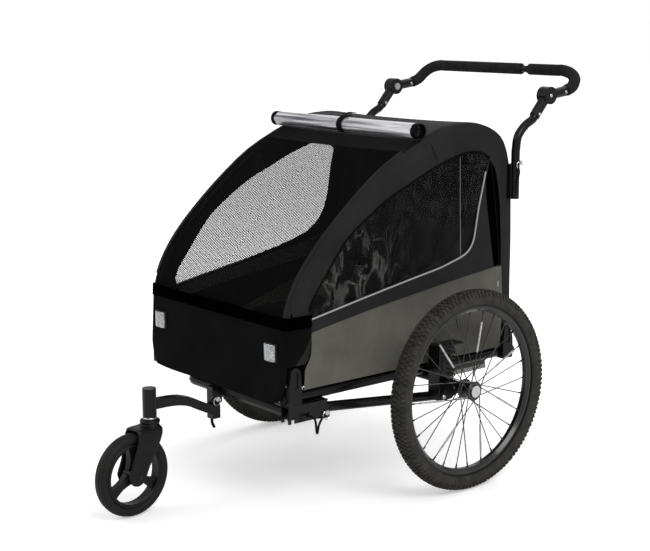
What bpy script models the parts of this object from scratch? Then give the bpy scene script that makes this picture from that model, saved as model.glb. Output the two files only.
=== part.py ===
# Child bike trailer in stroller mode, built from its separate pieces.
# Metres, +Z up, front towards -Y, the child's left towards +X.
# Every y below is measured from the rear axle; one empty then shifts the whole trailer
# so that the origin is on the ground under the middle of its length.

import math

import bmesh
import bpy
import numpy as np
from mathutils import Matrix, Vector

# Clearances
GAP = 0.0003                 # between pieces that touch
RUN = 0.0006                 # between pieces that turn or slide in each other
WELD = 0.00005               # points closer than this are one
WELD_BITE = 0.0020           # how deep welded tubes sink into each other

# Base frame, round steel tube
RAIL_X = 0.262               # side rail centre, from the middle of the trailer
RAIL_Z = 0.290
RAIL_RADIUS = 0.0125
RAIL_FRONT_Y = -0.489
RAIL_REAR_Y = 0.268
CROSS_RADIUS = 0.0115        # cross tubes and the low front beam
CROSS_FRONT_Y = -0.425
CROSS_REAR_Y = 0.196
AXLE_TUBE_Y = -0.030
BEAM_Y = -0.4755             # low beam that carries the jogger arm and the tow arm
BEAM_Z = 0.2565
BEAM_END_X = -0.150          # where the beam turns back under the floor
BEAM_BEND_RADIUS = 0.045
GUSSET_X = 0.105
GUSSET_WIDE = 0.030

# Hoops, one on each side
HOOP_RADIUS = 0.010
HINGE_Z = 0.330              # pin on which a hoop folds inwards
FOOT_BELOW_HINGE = 0.0070
HINGE_PIN_RADIUS = 0.0030
SHARP_EDGE = 40.0            # edges that turn more than this, in degrees, are rounded
HOOP_FRONT_Y = -0.468
HOOP_REAR_Y = 0.232
HOOP_TOP_Z = 0.878
HOOP_FRONT_LEAN = 0.0065     # how far the front leg leans forwards
SHOULDER_Z = 0.486           # where the front leg starts to curve back
REAR_BEND_Z = 0.689          # where the rear leg starts to curve forwards

# Hinge brackets, moulded
BRACKET_WIDE = 0.040
BRACKET_LONG = 0.036
BRACKET_TOP_Z = 0.362
BRACKET_SHOULDER_Z = 0.316   # above this a bracket narrows to its rounded head
BRACKET_HEAD_HALF = 0.0140
BRACKET_HEAD_ROUND = 0.009
BRACKET_EDGE = 0.002
POCKET_HALF = 0.0065         # moulded recess in a bracket's outer face
POCKET_DEEP = 0.0025
POCKET_LOW_Z = 0.316
BOSS_RADIUS = 0.0085
BOSS_DEEP = 0.006

# Fabric
CLOTH = 0.003
HEM_ROOM = 0.004             # free edge of cloth from a bracket
HEM_OUT = 0.0115             # side cloth outside the hoop's centre line
HEM_IN = 0.030               # side cloth inside the hoop's centre line
WRAP_HEM = 0.002             # side cloth behind the hoop's centre line, under the front panel
ROOF_FRONT_Y = -0.110
REAR_HEM_Z = 0.310
BAND_TOP_Z = 0.487
PANEL_BOTTOM_Z = 0.281
PANEL_LEAN = 0.012
WRAP_BACK_Y = -0.420         # how far the front panel wraps round the side
WRAP_BOTTOM_Z = 0.368
WINDOW_BACK_Y = 0.118
WINDOW_LOW_FRONT_Z = 0.470
WINDOW_LOW_REAR_Z = 0.556
GREY_TOP_FRONT_Z = 0.438
GREY_TOP_REAR_Z = 0.520
GREY_FRONT_Y = -0.416
GREY_REAR_Y = 0.2135
GREY_BOTTOM_Z = 0.3065
GREY_TOE_Y = -0.440

# Cabin
FLOOR_THICK = 0.003
FLOOR_HALF = 0.240
FLOOR_FRONT_Y = -0.4615
FLOOR_REAR_Y = 0.2350
SEAT_FRONT_Y = -0.245
SEAT_REAR_Y = 0.020
SEAT_TOP_Z = 0.405
SEAT_HALF = 0.232
SEAT_CROWN = 0.018             # middle of the seat above its edge
SEAT_PULL = 0.010              # how far its sides draw in between the corners
SEAM_DEEP = 0.007              # sewn channel between the two places
PAD_EDGE = 0.008               # round of a pad's rim
PAD_COLUMNS = 12
PAD_ROWS = 6
FLOOR_SEAM = 0.0015            # sewn lines across the floor, at the seat and behind it
FLOOR_SEAM_DEEP = 0.0010
FLOOR_SEAM_ROOM = 0.004
BACK_CROWN = 0.009
BACK_FOOT_Y = 0.036
BACK_TOP_Y = 0.168
BACK_TOP_Z = 0.790
BACK_THICK = 0.014
ROLL_Y = -0.074              # where the rolled rain cover rests on the roof
STRAP_WIDE = 0.018
STRAP_THICK = 0.0012
ROLL_RADIUS = 0.0195
ROLL_HALF = 0.280

# Handlebar
POST_X = 0.290
POST_Y = 0.2385
POST_RADIUS = 0.011
POST_BOTTOM_Z = 0.690
POST_BEND_Z = 0.812
POST_SHOULDERS = ((0.0070, 0.0360), (0.0315, 0.0615))   # past the bend's start
HUB_Y = 0.350
HUB_Z = 0.947
HUB_RADIUS = 0.0225
HUB_HALF = 0.015
LUG_RADIUS = 0.0135
LOW_LUG = (-0.040, -0.045)   # from the hub to the lower bolt
HIGH_LUG = (0.059, 0.007)    # from the hub to the upper bolt
BUTTON_RADIUS = 0.0095
BUTTON_PROUD = 0.004
BUTTON_SEAT = 0.002          # how deep the button starts inside the hub
BUTTON_TRAVEL = 0.003
BAR_Y = 0.478
BAR_Z = 1.004
BAR_RADIUS = 0.0095
FOAM_RADIUS = 0.0135
BAR_STRAIGHT_X = 0.215       # where the bar's straight run starts
FOAM_START = 0.005           # bare bar between a lug and the foam
FOAM_GAP_X = 0.100
FOAM_GAP = 0.026
BAR_BEND = ((0.001, 0.030, 0.0390), (0.008, 0.012, 0.0210), (0.028, 0.0035, 0.0070),
            (0.058, 0.0, 0.0))     # inwards, ahead of and below the grip's line
SADDLE_TOP_Z = 0.780
SADDLE_LOW_Z = 0.691
SADDLE_HALF = 0.0155

# Quick-release pins
PIN_RADIUS = 0.0035
PIN_HEAD_RADIUS = 0.006
PIN_HEAD = 0.007
RING_RADIUS = 0.010
RING_WIRE = 0.0011
LEASH_RADIUS = 0.0016
LEASH_DROP = 0.0400          # how far the tow pin's leash hangs below the pivot
TAIL_RADIUS = 0.0035
TAIL_LONG = 0.024

# Rear wheels, 20 x 1.75
TRACK_HALF = 0.375
WHEEL_RADIUS = 0.250
TYRE_HALF = 0.0235
TREAD_DEPTH = 0.0025
TREAD_LUGS = 26
RIM_OUTER = 0.2105
RIM_INNER = 0.1960
RIM_HALF = 0.0120
SPOKES = 28
SPOKE_RADIUS = 0.0012
SPOKE_SWEEP = math.radians(46)
HUB_FLANGE_RADIUS = 0.0240
HUB_CORE_RADIUS = 0.0180
WHEEL_HUB_HALF = 0.0190
FLANGE_THICK = 0.005
AXLE_RADIUS = 0.006
CAP_RADIUS = 0.0147
CAP_PROUD = 0.004
BUTTON_FLOOR = 0.0145         # floor of the hub's recess, from the wheel's middle

# Suspension
TOWER_X = 0.302              # inner face of the tower plate
TOWER_FRONT_Y = -0.069
TOWER_REAR_Y = 0.014
TOWER_LOW_Z = 0.226
TOWER_TOP_Z = 0.362
TOWER_OUT_X = 0.340
TOWER_PLATE = 0.0035
ARM_PIVOT_Y = -0.050
ARM_PIVOT_Z = 0.233
ARM_BOSS_RADIUS = 0.0125
ARM_IN_X = 0.3165
ARM_OUT_X = 0.3385
SPRING_Y = -0.016
SPRING_X = 0.3265
SPRING_LOW_Z = 0.2660
SPRING_MEAN_RADIUS = 0.0102
SPRING_WIRE_RADIUS = 0.0016
SPRING_CURLS = 8
SPRING_POINTS = 8            # to a curl

# Jogger arm, fork and caster
SOCKET_SIDE = 0.023
SOCKET_WALL = 0.0025
SOCKET_LOW_Z = 0.2285
SOCKET_TOP_Z = 0.2700
BLOCK_LOW_Z = 0.190
TONGUE_TOP_Z = 0.260
JOGGER_PIN_Z = 0.2400
STEER_Y = -0.681
HEAD_RADIUS = 0.0165
HEAD_LOW_Z = 0.228
HEAD_TOP_Z = 0.297
ARM_TALL = 0.022
ARM_WIDE = 0.028
SWIVEL = math.radians(5.7)   # how the caster stands in the photograph
TRAIL = 0.057
CASTER_RADIUS = 0.0995
CASTER_HALF = 0.017
CASTER_TREAD_INNER = 0.078
CASTER_RING_INNER = 0.069
CASTER_HUB_RADIUS = 0.016
CASTER_SPOKE_WIDE = 0.028     # at the ring; a spoke narrows by WAIST in its middle
CASTER_SPOKE_WAIST = 0.018
CASTER_SPOKE_THICK = 0.016
CASTER_SPOKES = 3
SPOKE_BITE = 0.003           # how far a spoke is sunk in the hub and the ring
CASTER_AXLE_RADIUS = 0.004
CASTER_STEPS = 28            # facets round the caster
LEG_THICK = 0.0065
LEG_GAP = 0.0030
STEERER_RADIUS = 0.0080
COLLAR_RADIUS = 0.0210
COLLAR_TOP_Z = 0.2225
CROWN_TOP_Z = 0.2085
CROWN_FRONT = 0.0215         # from the steering axis to the crown's shoulders
CROWN_BACK = 0.0550
FORK_EDGE = 0.0045
FORK_TOE_RADIUS = 0.0245     # end of a leg round the axle
FORK_LINE = ((-0.061, 0.164), (-0.0695, 0.133))          # back edge of a leg, downwards
FORK_FRONT_LINE = ((-0.021, 0.118), (-0.007, 0.141), (0.006, 0.163), (0.0165, 0.181))
TYRE_ROOM = 0.0032           # between the caster's tyre and the crown
NUT_RADIUS = 0.0075
NUT_HIGH = 0.004

# Tow arm, folded back under the left rail
TOW_X = 0.266
TOW_PIVOT_Y = -0.426
TOW_PIVOT_Z = 0.246
TOW_RADIUS = 0.012
TOW_OFFSET = 0.0125          # tube above the pivot while it is folded back
TOW_DROOP = math.radians(6.1)
TOW_LENGTH = 0.430
TOW_TUBE_START = 0.062
KNUCKLE_WIDE = 0.0215
KNUCKLE_BACK = 0.064
KNUCKLE_LOW = 0.012
KNUCKLE_NOSE = 0.0215
CHEEK = 0.003
CHEEK_FRONT_Y = -0.4870
CHEEK_REAR_LOW_Y = -0.394
CHEEK_REAR_TOP_Y = -0.370
CHEEK_LOW_Z = 0.2335
WEB_LOW_Z = 0.2715
TOW_PIN_REACH = 0.048        # pin from the pivot, along the arm
TOW_PIN_RISE = 0.003
COUPLER_LONG = 0.046
COUPLER_RADIUS = 0.0135
PIVOT_BOLT_RADIUS = 0.004

# The origin is under the middle of the whole length
FRONT_REACH = -STEER_Y + TRAIL * math.cos(SWIVEL) + CASTER_RADIUS
REAR_REACH = BAR_Y + FOAM_RADIUS
AXLE_Y = (FRONT_REACH - REAR_REACH) / 2

# Start from an empty scene
for old in list(bpy.data.objects):
    bpy.data.objects.remove(old, do_unlink=True)

parts = bpy.data.collections.new("child_bike_trailer")
cutters = bpy.data.collections.new("cutters")
bpy.context.scene.collection.children.link(parts)
bpy.context.scene.collection.children.link(cutters)


def finish_of(name, colour, roughness, metallic=0.0):
    """A plain finish: base colour, roughness and metal or not."""
    made = bpy.data.materials.get(name)
    if made is None:
        made = bpy.data.materials.new(name)
        made.use_nodes = True
        shader = made.node_tree.nodes["Principled BSDF"]
        shader.inputs["Base Color"].default_value = (*colour, 1.0)
        shader.inputs["Roughness"].default_value = roughness
        shader.inputs["Metallic"].default_value = metallic
    return made


BLACK_STEEL = ("black_steel", (0.012, 0.012, 0.013), 0.28, 0.0)
BLACK_PLASTIC = ("black_plastic", (0.014, 0.014, 0.014), 0.45, 0.0)
RUBBER = ("rubber", (0.016, 0.016, 0.016), 0.75, 0.0)
FOAM = ("grip_foam", (0.010, 0.010, 0.010), 0.95, 0.0)
CLOTH_BLACK = ("black_cloth", (0.017, 0.017, 0.018), 0.80, 0.0)
CLOTH_GREY = ("grey_cloth", (0.105, 0.102, 0.095), 0.75, 0.0)
MESH_CLOTH = ("mesh_cloth", (0.020, 0.020, 0.022), 0.70, 0.0)
CLEAR_FILM = ("clear_film", (0.450, 0.460, 0.450), 0.15, 0.0)
BARE_STEEL = ("bare_steel", (0.600, 0.600, 0.590), 0.25, 1.0)
GREY_PLASTIC = ("grey_plastic", (0.420, 0.420, 0.410), 0.40, 0.0)
SPRING_STEEL = ("spring_steel", (0.030, 0.030, 0.032), 0.35, 1.0)


def empty(name, location, parent=None, turn=(0.0, 0.0, 0.0)):
    """A joint or group marker."""
    made = bpy.data.objects.new(name, None)
    made.empty_display_size = 0.02
    made.location = location
    made.rotation_euler = turn
    made.parent = parent
    parts.objects.link(made)
    return made


def new_object(name, data, finish, location, parent, turn=(0.0, 0.0, 0.0)):
    """Puts mesh or curve data in the trailer's collection."""
    made = bpy.data.objects.new(name, data)
    if finish:
        data.materials.clear()
        data.materials.append(finish_of(*finish))
    made.location = location
    made.rotation_euler = turn
    made.parent = parent
    parts.objects.link(made)
    return made


def smooth(obj, angle=40.0):
    """Round faces shade smooth, edges stay sharp."""
    obj.data.shade_smooth()
    obj.data.set_sharp_from_angle(angle=math.radians(angle))
    return obj


def mesh_of(obj):
    """The evaluated mesh of an object, its loose caps welded, as a mesh object in its place."""
    bpy.context.view_layer.update()
    graph = bpy.context.evaluated_depsgraph_get()
    data = bpy.data.meshes.new_from_object(obj.evaluated_get(graph))
    work = bmesh.new()
    work.from_mesh(data)
    bmesh.ops.remove_doubles(work, verts=work.verts, dist=WELD)
    bmesh.ops.recalc_face_normals(work, faces=work.faces)
    work.to_mesh(data)
    work.free()
    name, parent, local = obj.name, obj.parent, obj.matrix_local.copy()
    bpy.data.objects.remove(obj, do_unlink=True)
    made = bpy.data.objects.new(name, data)
    made.parent = parent
    made.matrix_local = local
    parts.objects.link(made)
    return made


def hide(cutter):
    """A cutter isn't part of the trailer."""
    for home in list(cutter.users_collection):
        home.objects.unlink(cutter)
    cutters.objects.link(cutter)
    cutter.hide_render = True
    cutter.display_type = "WIRE"


def combine(target, other, operation):
    """Joins another solid to the target or cuts it away."""
    hide(other)
    step = target.modifiers.new(operation.lower(), "BOOLEAN")
    step.operation = operation
    step.solver = "EXACT"
    step.object = other
    return target


def join(target, *others):
    """One solid out of several that overlap."""
    for other in others:
        combine(target, other, "UNION")
    return target


def cut(target, *others):
    """Takes the others out of the target."""
    for other in others:
        combine(target, other, "DIFFERENCE")
    return target


def tube_curve(name, points, radius, finish, parent, location=(0, 0, 0), sides=2, cyclic=False):
    """A round tube or rod along points, with closed ends."""
    data = bpy.data.curves.new(name, "CURVE")
    data.dimensions = "3D"
    line = data.splines.new("POLY")
    line.points.add(len(points) - 1)
    for spot, point in zip(line.points, points):
        spot.co = (*point, 1.0)
    line.use_cyclic_u = cyclic
    data.bevel_depth = radius
    data.bevel_resolution = sides
    data.use_fill_caps = not cyclic
    return new_object(name, data, finish, location, parent)


def tube(name, points, radius, finish, parent, location=(0, 0, 0), sides=2):
    """A tube as a welded mesh, ready to be cut or joined."""
    return smooth(mesh_of(tube_curve(name, points, radius, finish, parent, location, sides)))


def cylinder(name, radius, start, end, finish, parent, segments=20):
    """A straight round bar between two points."""
    start, end = Vector(start), Vector(end)
    along = end - start
    work = bmesh.new()
    bmesh.ops.create_cone(work, cap_ends=True, segments=segments, radius1=radius,
                          radius2=radius, depth=along.length)
    turn = along.to_track_quat("Z", "Y").to_matrix().to_4x4()
    bmesh.ops.transform(work, matrix=turn, verts=work.verts)
    data = bpy.data.meshes.new(name)
    work.to_mesh(data)
    work.free()
    return smooth(new_object(name, data, finish, (start + end) / 2, parent))


def box(name, low, high, finish, parent, bevel=0.0, segments=1):
    """A box between two corners, its edges rounded if bevel is given."""
    low, high = Vector(low), Vector(high)
    work = bmesh.new()
    bmesh.ops.create_cube(work, size=1.0)
    bmesh.ops.scale(work, vec=high - low, verts=work.verts)
    data = bpy.data.meshes.new(name)
    work.to_mesh(data)
    work.free()
    made = new_object(name, data, finish, (low + high) / 2, parent)
    if bevel:
        edge = made.modifiers.new("rounded edges", "BEVEL")
        edge.width = bevel
        edge.segments = segments
    return made


def slab(name, outline, axis, low, high, finish, parent, holes=(), location=(0, 0, 0)):
    """A flat outline, with holes, given thickness along one axis.

    The outline's pairs are (y, z) for axis x, (x, z) for axis y and (x, y) for axis z.
    """
    data = bpy.data.curves.new(name, "CURVE")
    data.dimensions = "2D"
    data.fill_mode = "BOTH"
    data.extrude = (high - low) / 2
    for ring in (outline, *holes):
        line = data.splines.new("POLY")
        line.points.add(len(ring) - 1)
        for spot, (u, v) in zip(line.points, ring):
            spot.co = (u, v, 0.0, 1.0)
        line.use_cyclic_u = True
    middle = (low + high) / 2
    if axis == "x":
        frame = Matrix(((0, 0, 1, middle), (1, 0, 0, 0), (0, 1, 0, 0), (0, 0, 0, 1)))
    elif axis == "y":
        frame = Matrix(((1, 0, 0, 0), (0, 0, -1, middle), (0, 1, 0, 0), (0, 0, 0, 1)))
    else:
        frame = Matrix.Translation((0, 0, middle))
    made = mesh_of(new_object(name, data, finish, (0, 0, 0), None))
    made.data.transform(frame)
    made.location = location
    made.parent = parent
    return made


def rounded(obj, width, segments=1):
    """Rounds the sharp edges of a solid."""
    edge = obj.modifiers.new("rounded edges", "BEVEL")
    edge.width = width
    edge.segments = segments
    edge.limit_method = "ANGLE"
    edge.angle_limit = math.radians(SHARP_EDGE)
    return obj


def turned(name, profile, axis, finish, parent, location=(0, 0, 0), segments=24, closed=False):
    """A turned shape: profile pairs are (radius, distance along the axis).

    The profile runs from the top of the axis down its outer side.
    """
    data = bpy.data.meshes.new(name)
    work = bmesh.new()
    spots = [work.verts.new((radius, 0.0, along)) for radius, along in profile]
    pairs = list(zip(spots, spots[1:]))
    if closed:
        pairs.append((spots[-1], spots[0]))
    for first, second in pairs:
        work.edges.new((first, second))
    work.to_mesh(data)
    work.free()
    made = new_object(name, data, finish, (0, 0, 0), None)
    turn = made.modifiers.new("turned", "SCREW")
    turn.steps = segments
    turn.render_steps = segments
    turn.use_merge_vertices = True
    turn.merge_threshold = WELD
    made = mesh_of(made)
    if axis == "x":
        made.data.transform(Matrix.Rotation(math.radians(90), 4, "Y"))
    made.location = location
    made.parent = parent
    return smooth(made)


def curve_through(points, steps):
    """Points on one smooth line through the given ones."""
    pts = [np.array(p, dtype=float) for p in points]
    pts = [2 * pts[0] - pts[1], *pts, 2 * pts[-1] - pts[-2]]
    out = []
    for a, b, c, d in zip(pts, pts[1:], pts[2:], pts[3:]):
        for k in range(steps):
            t = k / steps
            out.append(0.5 * (2 * b + (c - a) * t + (2 * a - 5 * b + 4 * c - d) * t ** 2
                              + (3 * b - a - 3 * c + d) * t ** 3))
    out.append(pts[-2])
    return [tuple(float(v) for v in p) for p in out]


def beside(line, distance):
    """A line moved sideways, to its left when walking along it, by a distance."""
    pts = np.array(line)
    along = np.gradient(pts, axis=0)
    along /= np.linalg.norm(along, axis=1)[:, None]
    side = np.stack([-along[:, 1], along[:, 0]], axis=1)
    return [tuple(p) for p in pts + side * distance]


def arc(centre, radius, start, end, steps):
    """Points on part of a circle, angles in degrees."""
    spread = np.radians(np.linspace(start, end, steps + 1))
    return [(centre[0] + radius * math.cos(a), centre[1] + radius * math.sin(a)) for a in spread]


def mirror_x(point):
    """The same point on the other side."""
    return (-point[0], *point[1:])


root = empty("trailer", (0, AXLE_Y, 0))
SIDES = (("left", 1.0), ("right", -1.0))

# Base frame: side rails, cross tubes and axle tube, welded
rail_low_z = RAIL_Z - RAIL_RADIUS
rail_top_z = RAIL_Z + RAIL_RADIUS
axle_tube_z = rail_low_z - CROSS_RADIUS + WELD_BITE
frame = cylinder("base_frame", RAIL_RADIUS, (RAIL_X, RAIL_FRONT_Y, RAIL_Z),
                 (RAIL_X, RAIL_REAR_Y, RAIL_Z), BLACK_STEEL, root)
join(frame, cylinder("right_rail", RAIL_RADIUS, (-RAIL_X, RAIL_FRONT_Y, RAIL_Z),
                     (-RAIL_X, RAIL_REAR_Y, RAIL_Z), None, root))
for name, y in (("front_cross", CROSS_FRONT_Y), ("rear_cross", CROSS_REAR_Y)):
    join(frame, cylinder(name, CROSS_RADIUS, (-RAIL_X, y, RAIL_Z), (RAIL_X, y, RAIL_Z), None, root,
                         segments=16))
join(frame, cylinder("axle_tube", CROSS_RADIUS, (-TOWER_X + GAP, AXLE_TUBE_Y, axle_tube_z),
                     (TOWER_X - GAP, AXLE_TUBE_Y, axle_tube_z), None, root, segments=16))

# Low front beam with the jogger arm's socket
socket_y = BEAM_Y - CROSS_RADIUS - SOCKET_SIDE / 2
socket_half = SOCKET_SIDE / 2
tow_in_x = TOW_X - KNUCKLE_WIDE / 2 - RUN - CHEEK
beam_back_y = AXLE_TUBE_Y - CROSS_RADIUS - GAP
bend = arc((BEAM_END_X + BEAM_BEND_RADIUS, BEAM_Y + BEAM_BEND_RADIUS), BEAM_BEND_RADIUS,
           270, 180, 8)
beam_line = [(tow_in_x - GAP, BEAM_Y, BEAM_Z), *[(x, y, BEAM_Z) for x, y in bend],
             (BEAM_END_X, beam_back_y, BEAM_Z)]
beam = tube("front_beam", beam_line, CROSS_RADIUS, BLACK_STEEL, root)
gussets = []
for place in (-GUSSET_X, GUSSET_X):
    gussets.append(slab(
        f"gusset_{place:+.3f}",
        [(BEAM_Y - CROSS_RADIUS / 2, BEAM_Z), (BEAM_Y, BEAM_Z + CROSS_RADIUS / 2),
         (CROSS_FRONT_Y - CROSS_RADIUS - GAP, RAIL_Z + CROSS_RADIUS / 2),
         (CROSS_FRONT_Y - CROSS_RADIUS - GAP, RAIL_Z - CROSS_RADIUS),
         (BEAM_Y + CROSS_RADIUS / 2, BEAM_Z - CROSS_RADIUS / 2)],
        "x", place - GUSSET_WIDE / 2, place + GUSSET_WIDE / 2, None, root))
socket = box("socket", (-socket_half, socket_y - socket_half, SOCKET_LOW_Z),
             (socket_half, socket_y + socket_half + CROSS_RADIUS / 2, SOCKET_TOP_Z), None, root)
join(beam, *gussets, socket)
bore_half = socket_half - SOCKET_WALL
cut(beam,
    box("socket_bore", (-bore_half, socket_y - bore_half, SOCKET_LOW_Z - SOCKET_WALL),
        (bore_half, socket_y + bore_half, TONGUE_TOP_Z + GAP), None, root),
    cylinder("jogger_pin_hole", PIN_RADIUS + GAP,
             (-SOCKET_SIDE, socket_y, JOGGER_PIN_Z), (SOCKET_SIDE, socket_y, JOGGER_PIN_Z),
             None, root, segments=12))

# Tow arm receiver: a channel, open below, on the left end of the beam
cheek_in = KNUCKLE_WIDE / 2 + RUN
cheek_out = cheek_in + CHEEK
web_top_z = WEB_LOW_Z + CHEEK
receiver = slab(
    "tow_receiver",
    [(CHEEK_FRONT_Y, CHEEK_LOW_Z), (CHEEK_FRONT_Y, web_top_z), (CHEEK_REAR_TOP_Y, web_top_z),
     (CHEEK_REAR_LOW_Y, CHEEK_LOW_Z)],
    "x", TOW_X - cheek_out, TOW_X + cheek_out, BLACK_STEEL, root)
tow_pin_slot_y = TOW_PIVOT_Y - TOW_PIN_REACH
slot_half = PIN_RADIUS + 0.0015
cut(receiver,
    box("channel_space", (TOW_X - cheek_in, CHEEK_FRONT_Y - CHEEK, CHEEK_LOW_Z - CHEEK),
        (TOW_X + cheek_in, CHEEK_REAR_TOP_Y + CHEEK, WEB_LOW_Z), None, root),
    box("pin_slot", (TOW_X - 2 * cheek_out, tow_pin_slot_y - slot_half, CHEEK_LOW_Z - CHEEK),
        (TOW_X + 2 * cheek_out, tow_pin_slot_y + slot_half,
         TOW_PIVOT_Z - TOW_PIN_RISE + slot_half), None, root))
join(receiver,
     cylinder("tow_pivot_bolt", PIVOT_BOLT_RADIUS, (TOW_X - cheek_out, TOW_PIVOT_Y, TOW_PIVOT_Z),
              (TOW_X + cheek_out, TOW_PIVOT_Y, TOW_PIVOT_Z), None, root, segments=12),
     *[cylinder(f"tow_bolt_head_{end}", 2 * PIVOT_BOLT_RADIUS,
                (TOW_X + sign * (cheek_out - GAP), TOW_PIVOT_Y, TOW_PIVOT_Z),
                (TOW_X + sign * (cheek_out + PIVOT_BOLT_RADIUS), TOW_PIVOT_Y, TOW_PIVOT_Z),
                None, root, segments=6) for end, sign in (("outer", 1.0), ("inner", -1.0))])

# Hinge brackets: each holds the end of a rail and the foot of a hoop
bracket_low_z = web_top_z + GAP
bracket_out = RAIL_X + BRACKET_WIDE / 2 + 0.002
bracket_in = bracket_out - BRACKET_WIDE
foot_z = HINGE_Z - FOOT_BELOW_HINGE
rear_bracket_mid = HOOP_REAR_Y + BRACKET_LONG / 2 - HOOP_RADIUS - 0.0065
for end, middle, foot_y in (("front", HOOP_FRONT_Y, HOOP_FRONT_Y),
                            ("rear", rear_bracket_mid, HOOP_REAR_Y)):
    for side, s in SIDES:
        x_low, x_high = sorted((s * bracket_in, s * bracket_out))
        half_arch = [(BRACKET_LONG / 2, bracket_low_z), (BRACKET_LONG / 2, BRACKET_SHOULDER_Z),
                     *arc((BRACKET_HEAD_HALF - BRACKET_HEAD_ROUND, BRACKET_TOP_Z - BRACKET_HEAD_ROUND),
                          BRACKET_HEAD_ROUND, 20, 90, 3)]
        arch = [(middle + y, z) for y, z in half_arch]
        arch += [(middle - y, z) for y, z in reversed(half_arch)]
        bracket = rounded(slab(f"bracket_{end}_{side}", arch, "x", x_low, x_high, BLACK_PLASTIC, root),
                          BRACKET_EDGE)
        pocket_x = sorted((s * (bracket_out - POCKET_DEEP), s * (bracket_out + POCKET_DEEP)))
        foot_sweep = math.hypot(HOOP_RADIUS, FOOT_BELOW_HINGE)
        slot_x = sorted((s * (bracket_in - 0.010), s * (RAIL_X + foot_sweep + RUN)))
        slot = HOOP_RADIUS + 2 * RUN
        cut(bracket,
            cylinder(f"rail_hole_{end}_{side}", RAIL_RADIUS + GAP,
                     (s * RAIL_X, middle - BRACKET_LONG, RAIL_Z),
                     (s * RAIL_X, middle + BRACKET_LONG, RAIL_Z), None, root),
            box(f"hoop_slot_{end}_{side}", (slot_x[0], foot_y - slot, foot_z - 0.006),
                (slot_x[1], foot_y + slot, BRACKET_TOP_Z + 0.010), None, root),
            box(f"pocket_{end}_{side}", (pocket_x[0], middle - POCKET_HALF, POCKET_LOW_Z),
                (pocket_x[1], middle + POCKET_HALF, BRACKET_TOP_Z - BRACKET_HEAD_ROUND), None, root))
        outward = -1.0 if end == "front" else 1.0
        face_y = middle + outward * BRACKET_LONG / 2
        boss = turned(f"pivot_cap_{end}_{side}",
                      [(0.0, BOSS_DEEP), (0.6 * BOSS_RADIUS, 0.8 * BOSS_DEEP),
                       (BOSS_RADIUS, 0.3 * BOSS_DEEP), (BOSS_RADIUS, -0.002), (0.0, -0.002)],
                      "z", None, root, segments=12)
        boss.data.transform(Matrix.Rotation(math.radians(-90 * outward), 4, "X"))
        boss.location = (s * RAIL_X, face_y, HINGE_Z)
        pin_reach = HOOP_RADIUS + 2 * RUN + WELD_BITE
        join(bracket, boss,
             cylinder(f"hinge_pin_{end}_{side}", HINGE_PIN_RADIUS,
                      (s * RAIL_X, foot_y - pin_reach, HINGE_Z), (s * RAIL_X, foot_y + pin_reach, HINGE_Z),
                      None, root, segments=10))

# Hoops
hoop_line = curve_through(
    [(HOOP_FRONT_Y, foot_z), (HOOP_FRONT_Y, BRACKET_TOP_Z),
     (HOOP_FRONT_Y - HOOP_FRONT_LEAN, 0.425), (-0.4735, SHOULDER_Z), (-0.4290, 0.5745), (-0.3255, 0.6817), (-0.1779, 0.7940),
     (-0.0164, 0.8655), (0.0604, HOOP_TOP_Z), (0.1179, 0.8751), (0.1593, 0.8622),
     (0.1903, 0.8429), (0.2091, 0.8145), (0.2213, 0.7675), (0.2290, REAR_BEND_Z),
     (HOOP_REAR_Y, 0.560), (HOOP_REAR_Y, foot_z)], 2)
sides_of = {}
for side, s in SIDES:
    fold = empty(f"fold_{side}", (s * RAIL_X, 0, HINGE_Z), root)
    sides_of[side] = fold
    hoop = tube(f"hoop_{side}", [(0, y, z - HINGE_Z) for y, z in hoop_line], HOOP_RADIUS,
                BLACK_STEEL, fold)
    for end, foot_y in (("front", HOOP_FRONT_Y), ("rear", HOOP_REAR_Y)):
        cut(hoop, cylinder(f"hinge_hole_{end}_{side}", HINGE_PIN_RADIUS + GAP,
                           (0, foot_y - 2 * HOOP_RADIUS, 0), (0, foot_y + 2 * HOOP_RADIUS, 0),
                           None, fold, segments=10))

# Side cloths: a dark surround, a clear window and a grey lower panel on each hoop
fine_line = curve_through(hoop_line, 1)
outer_hem = beside(fine_line, HEM_OUT)
inner_hem = beside(fine_line, -HEM_IN)
hem_foot_z = BRACKET_TOP_Z + HEM_ROOM


def front_y(line, z):
    """Where the front leg's side of a line of (y, z) points passes a height."""
    for (y0, z0), (y1, z1) in zip(line, line[1:]):
        if z0 <= z <= z1:
            return y0 + (y1 - y0) * (z - z0) / (z1 - z0)
    return line[0][0]


def grey_top(y):
    """Height of the grey panel's upper edge."""
    share = (y - GREY_FRONT_Y) / (GREY_REAR_Y - GREY_FRONT_Y)
    return GREY_TOP_FRONT_Z + share * (GREY_TOP_REAR_Z - GREY_TOP_FRONT_Z)


def window_low(y):
    """Height of the window's lower edge."""
    share = (y - GREY_FRONT_Y) / (WINDOW_BACK_Y - GREY_FRONT_Y)
    return WINDOW_LOW_FRONT_Z + share * (WINDOW_LOW_REAR_Z - WINDOW_LOW_FRONT_Z)


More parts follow.
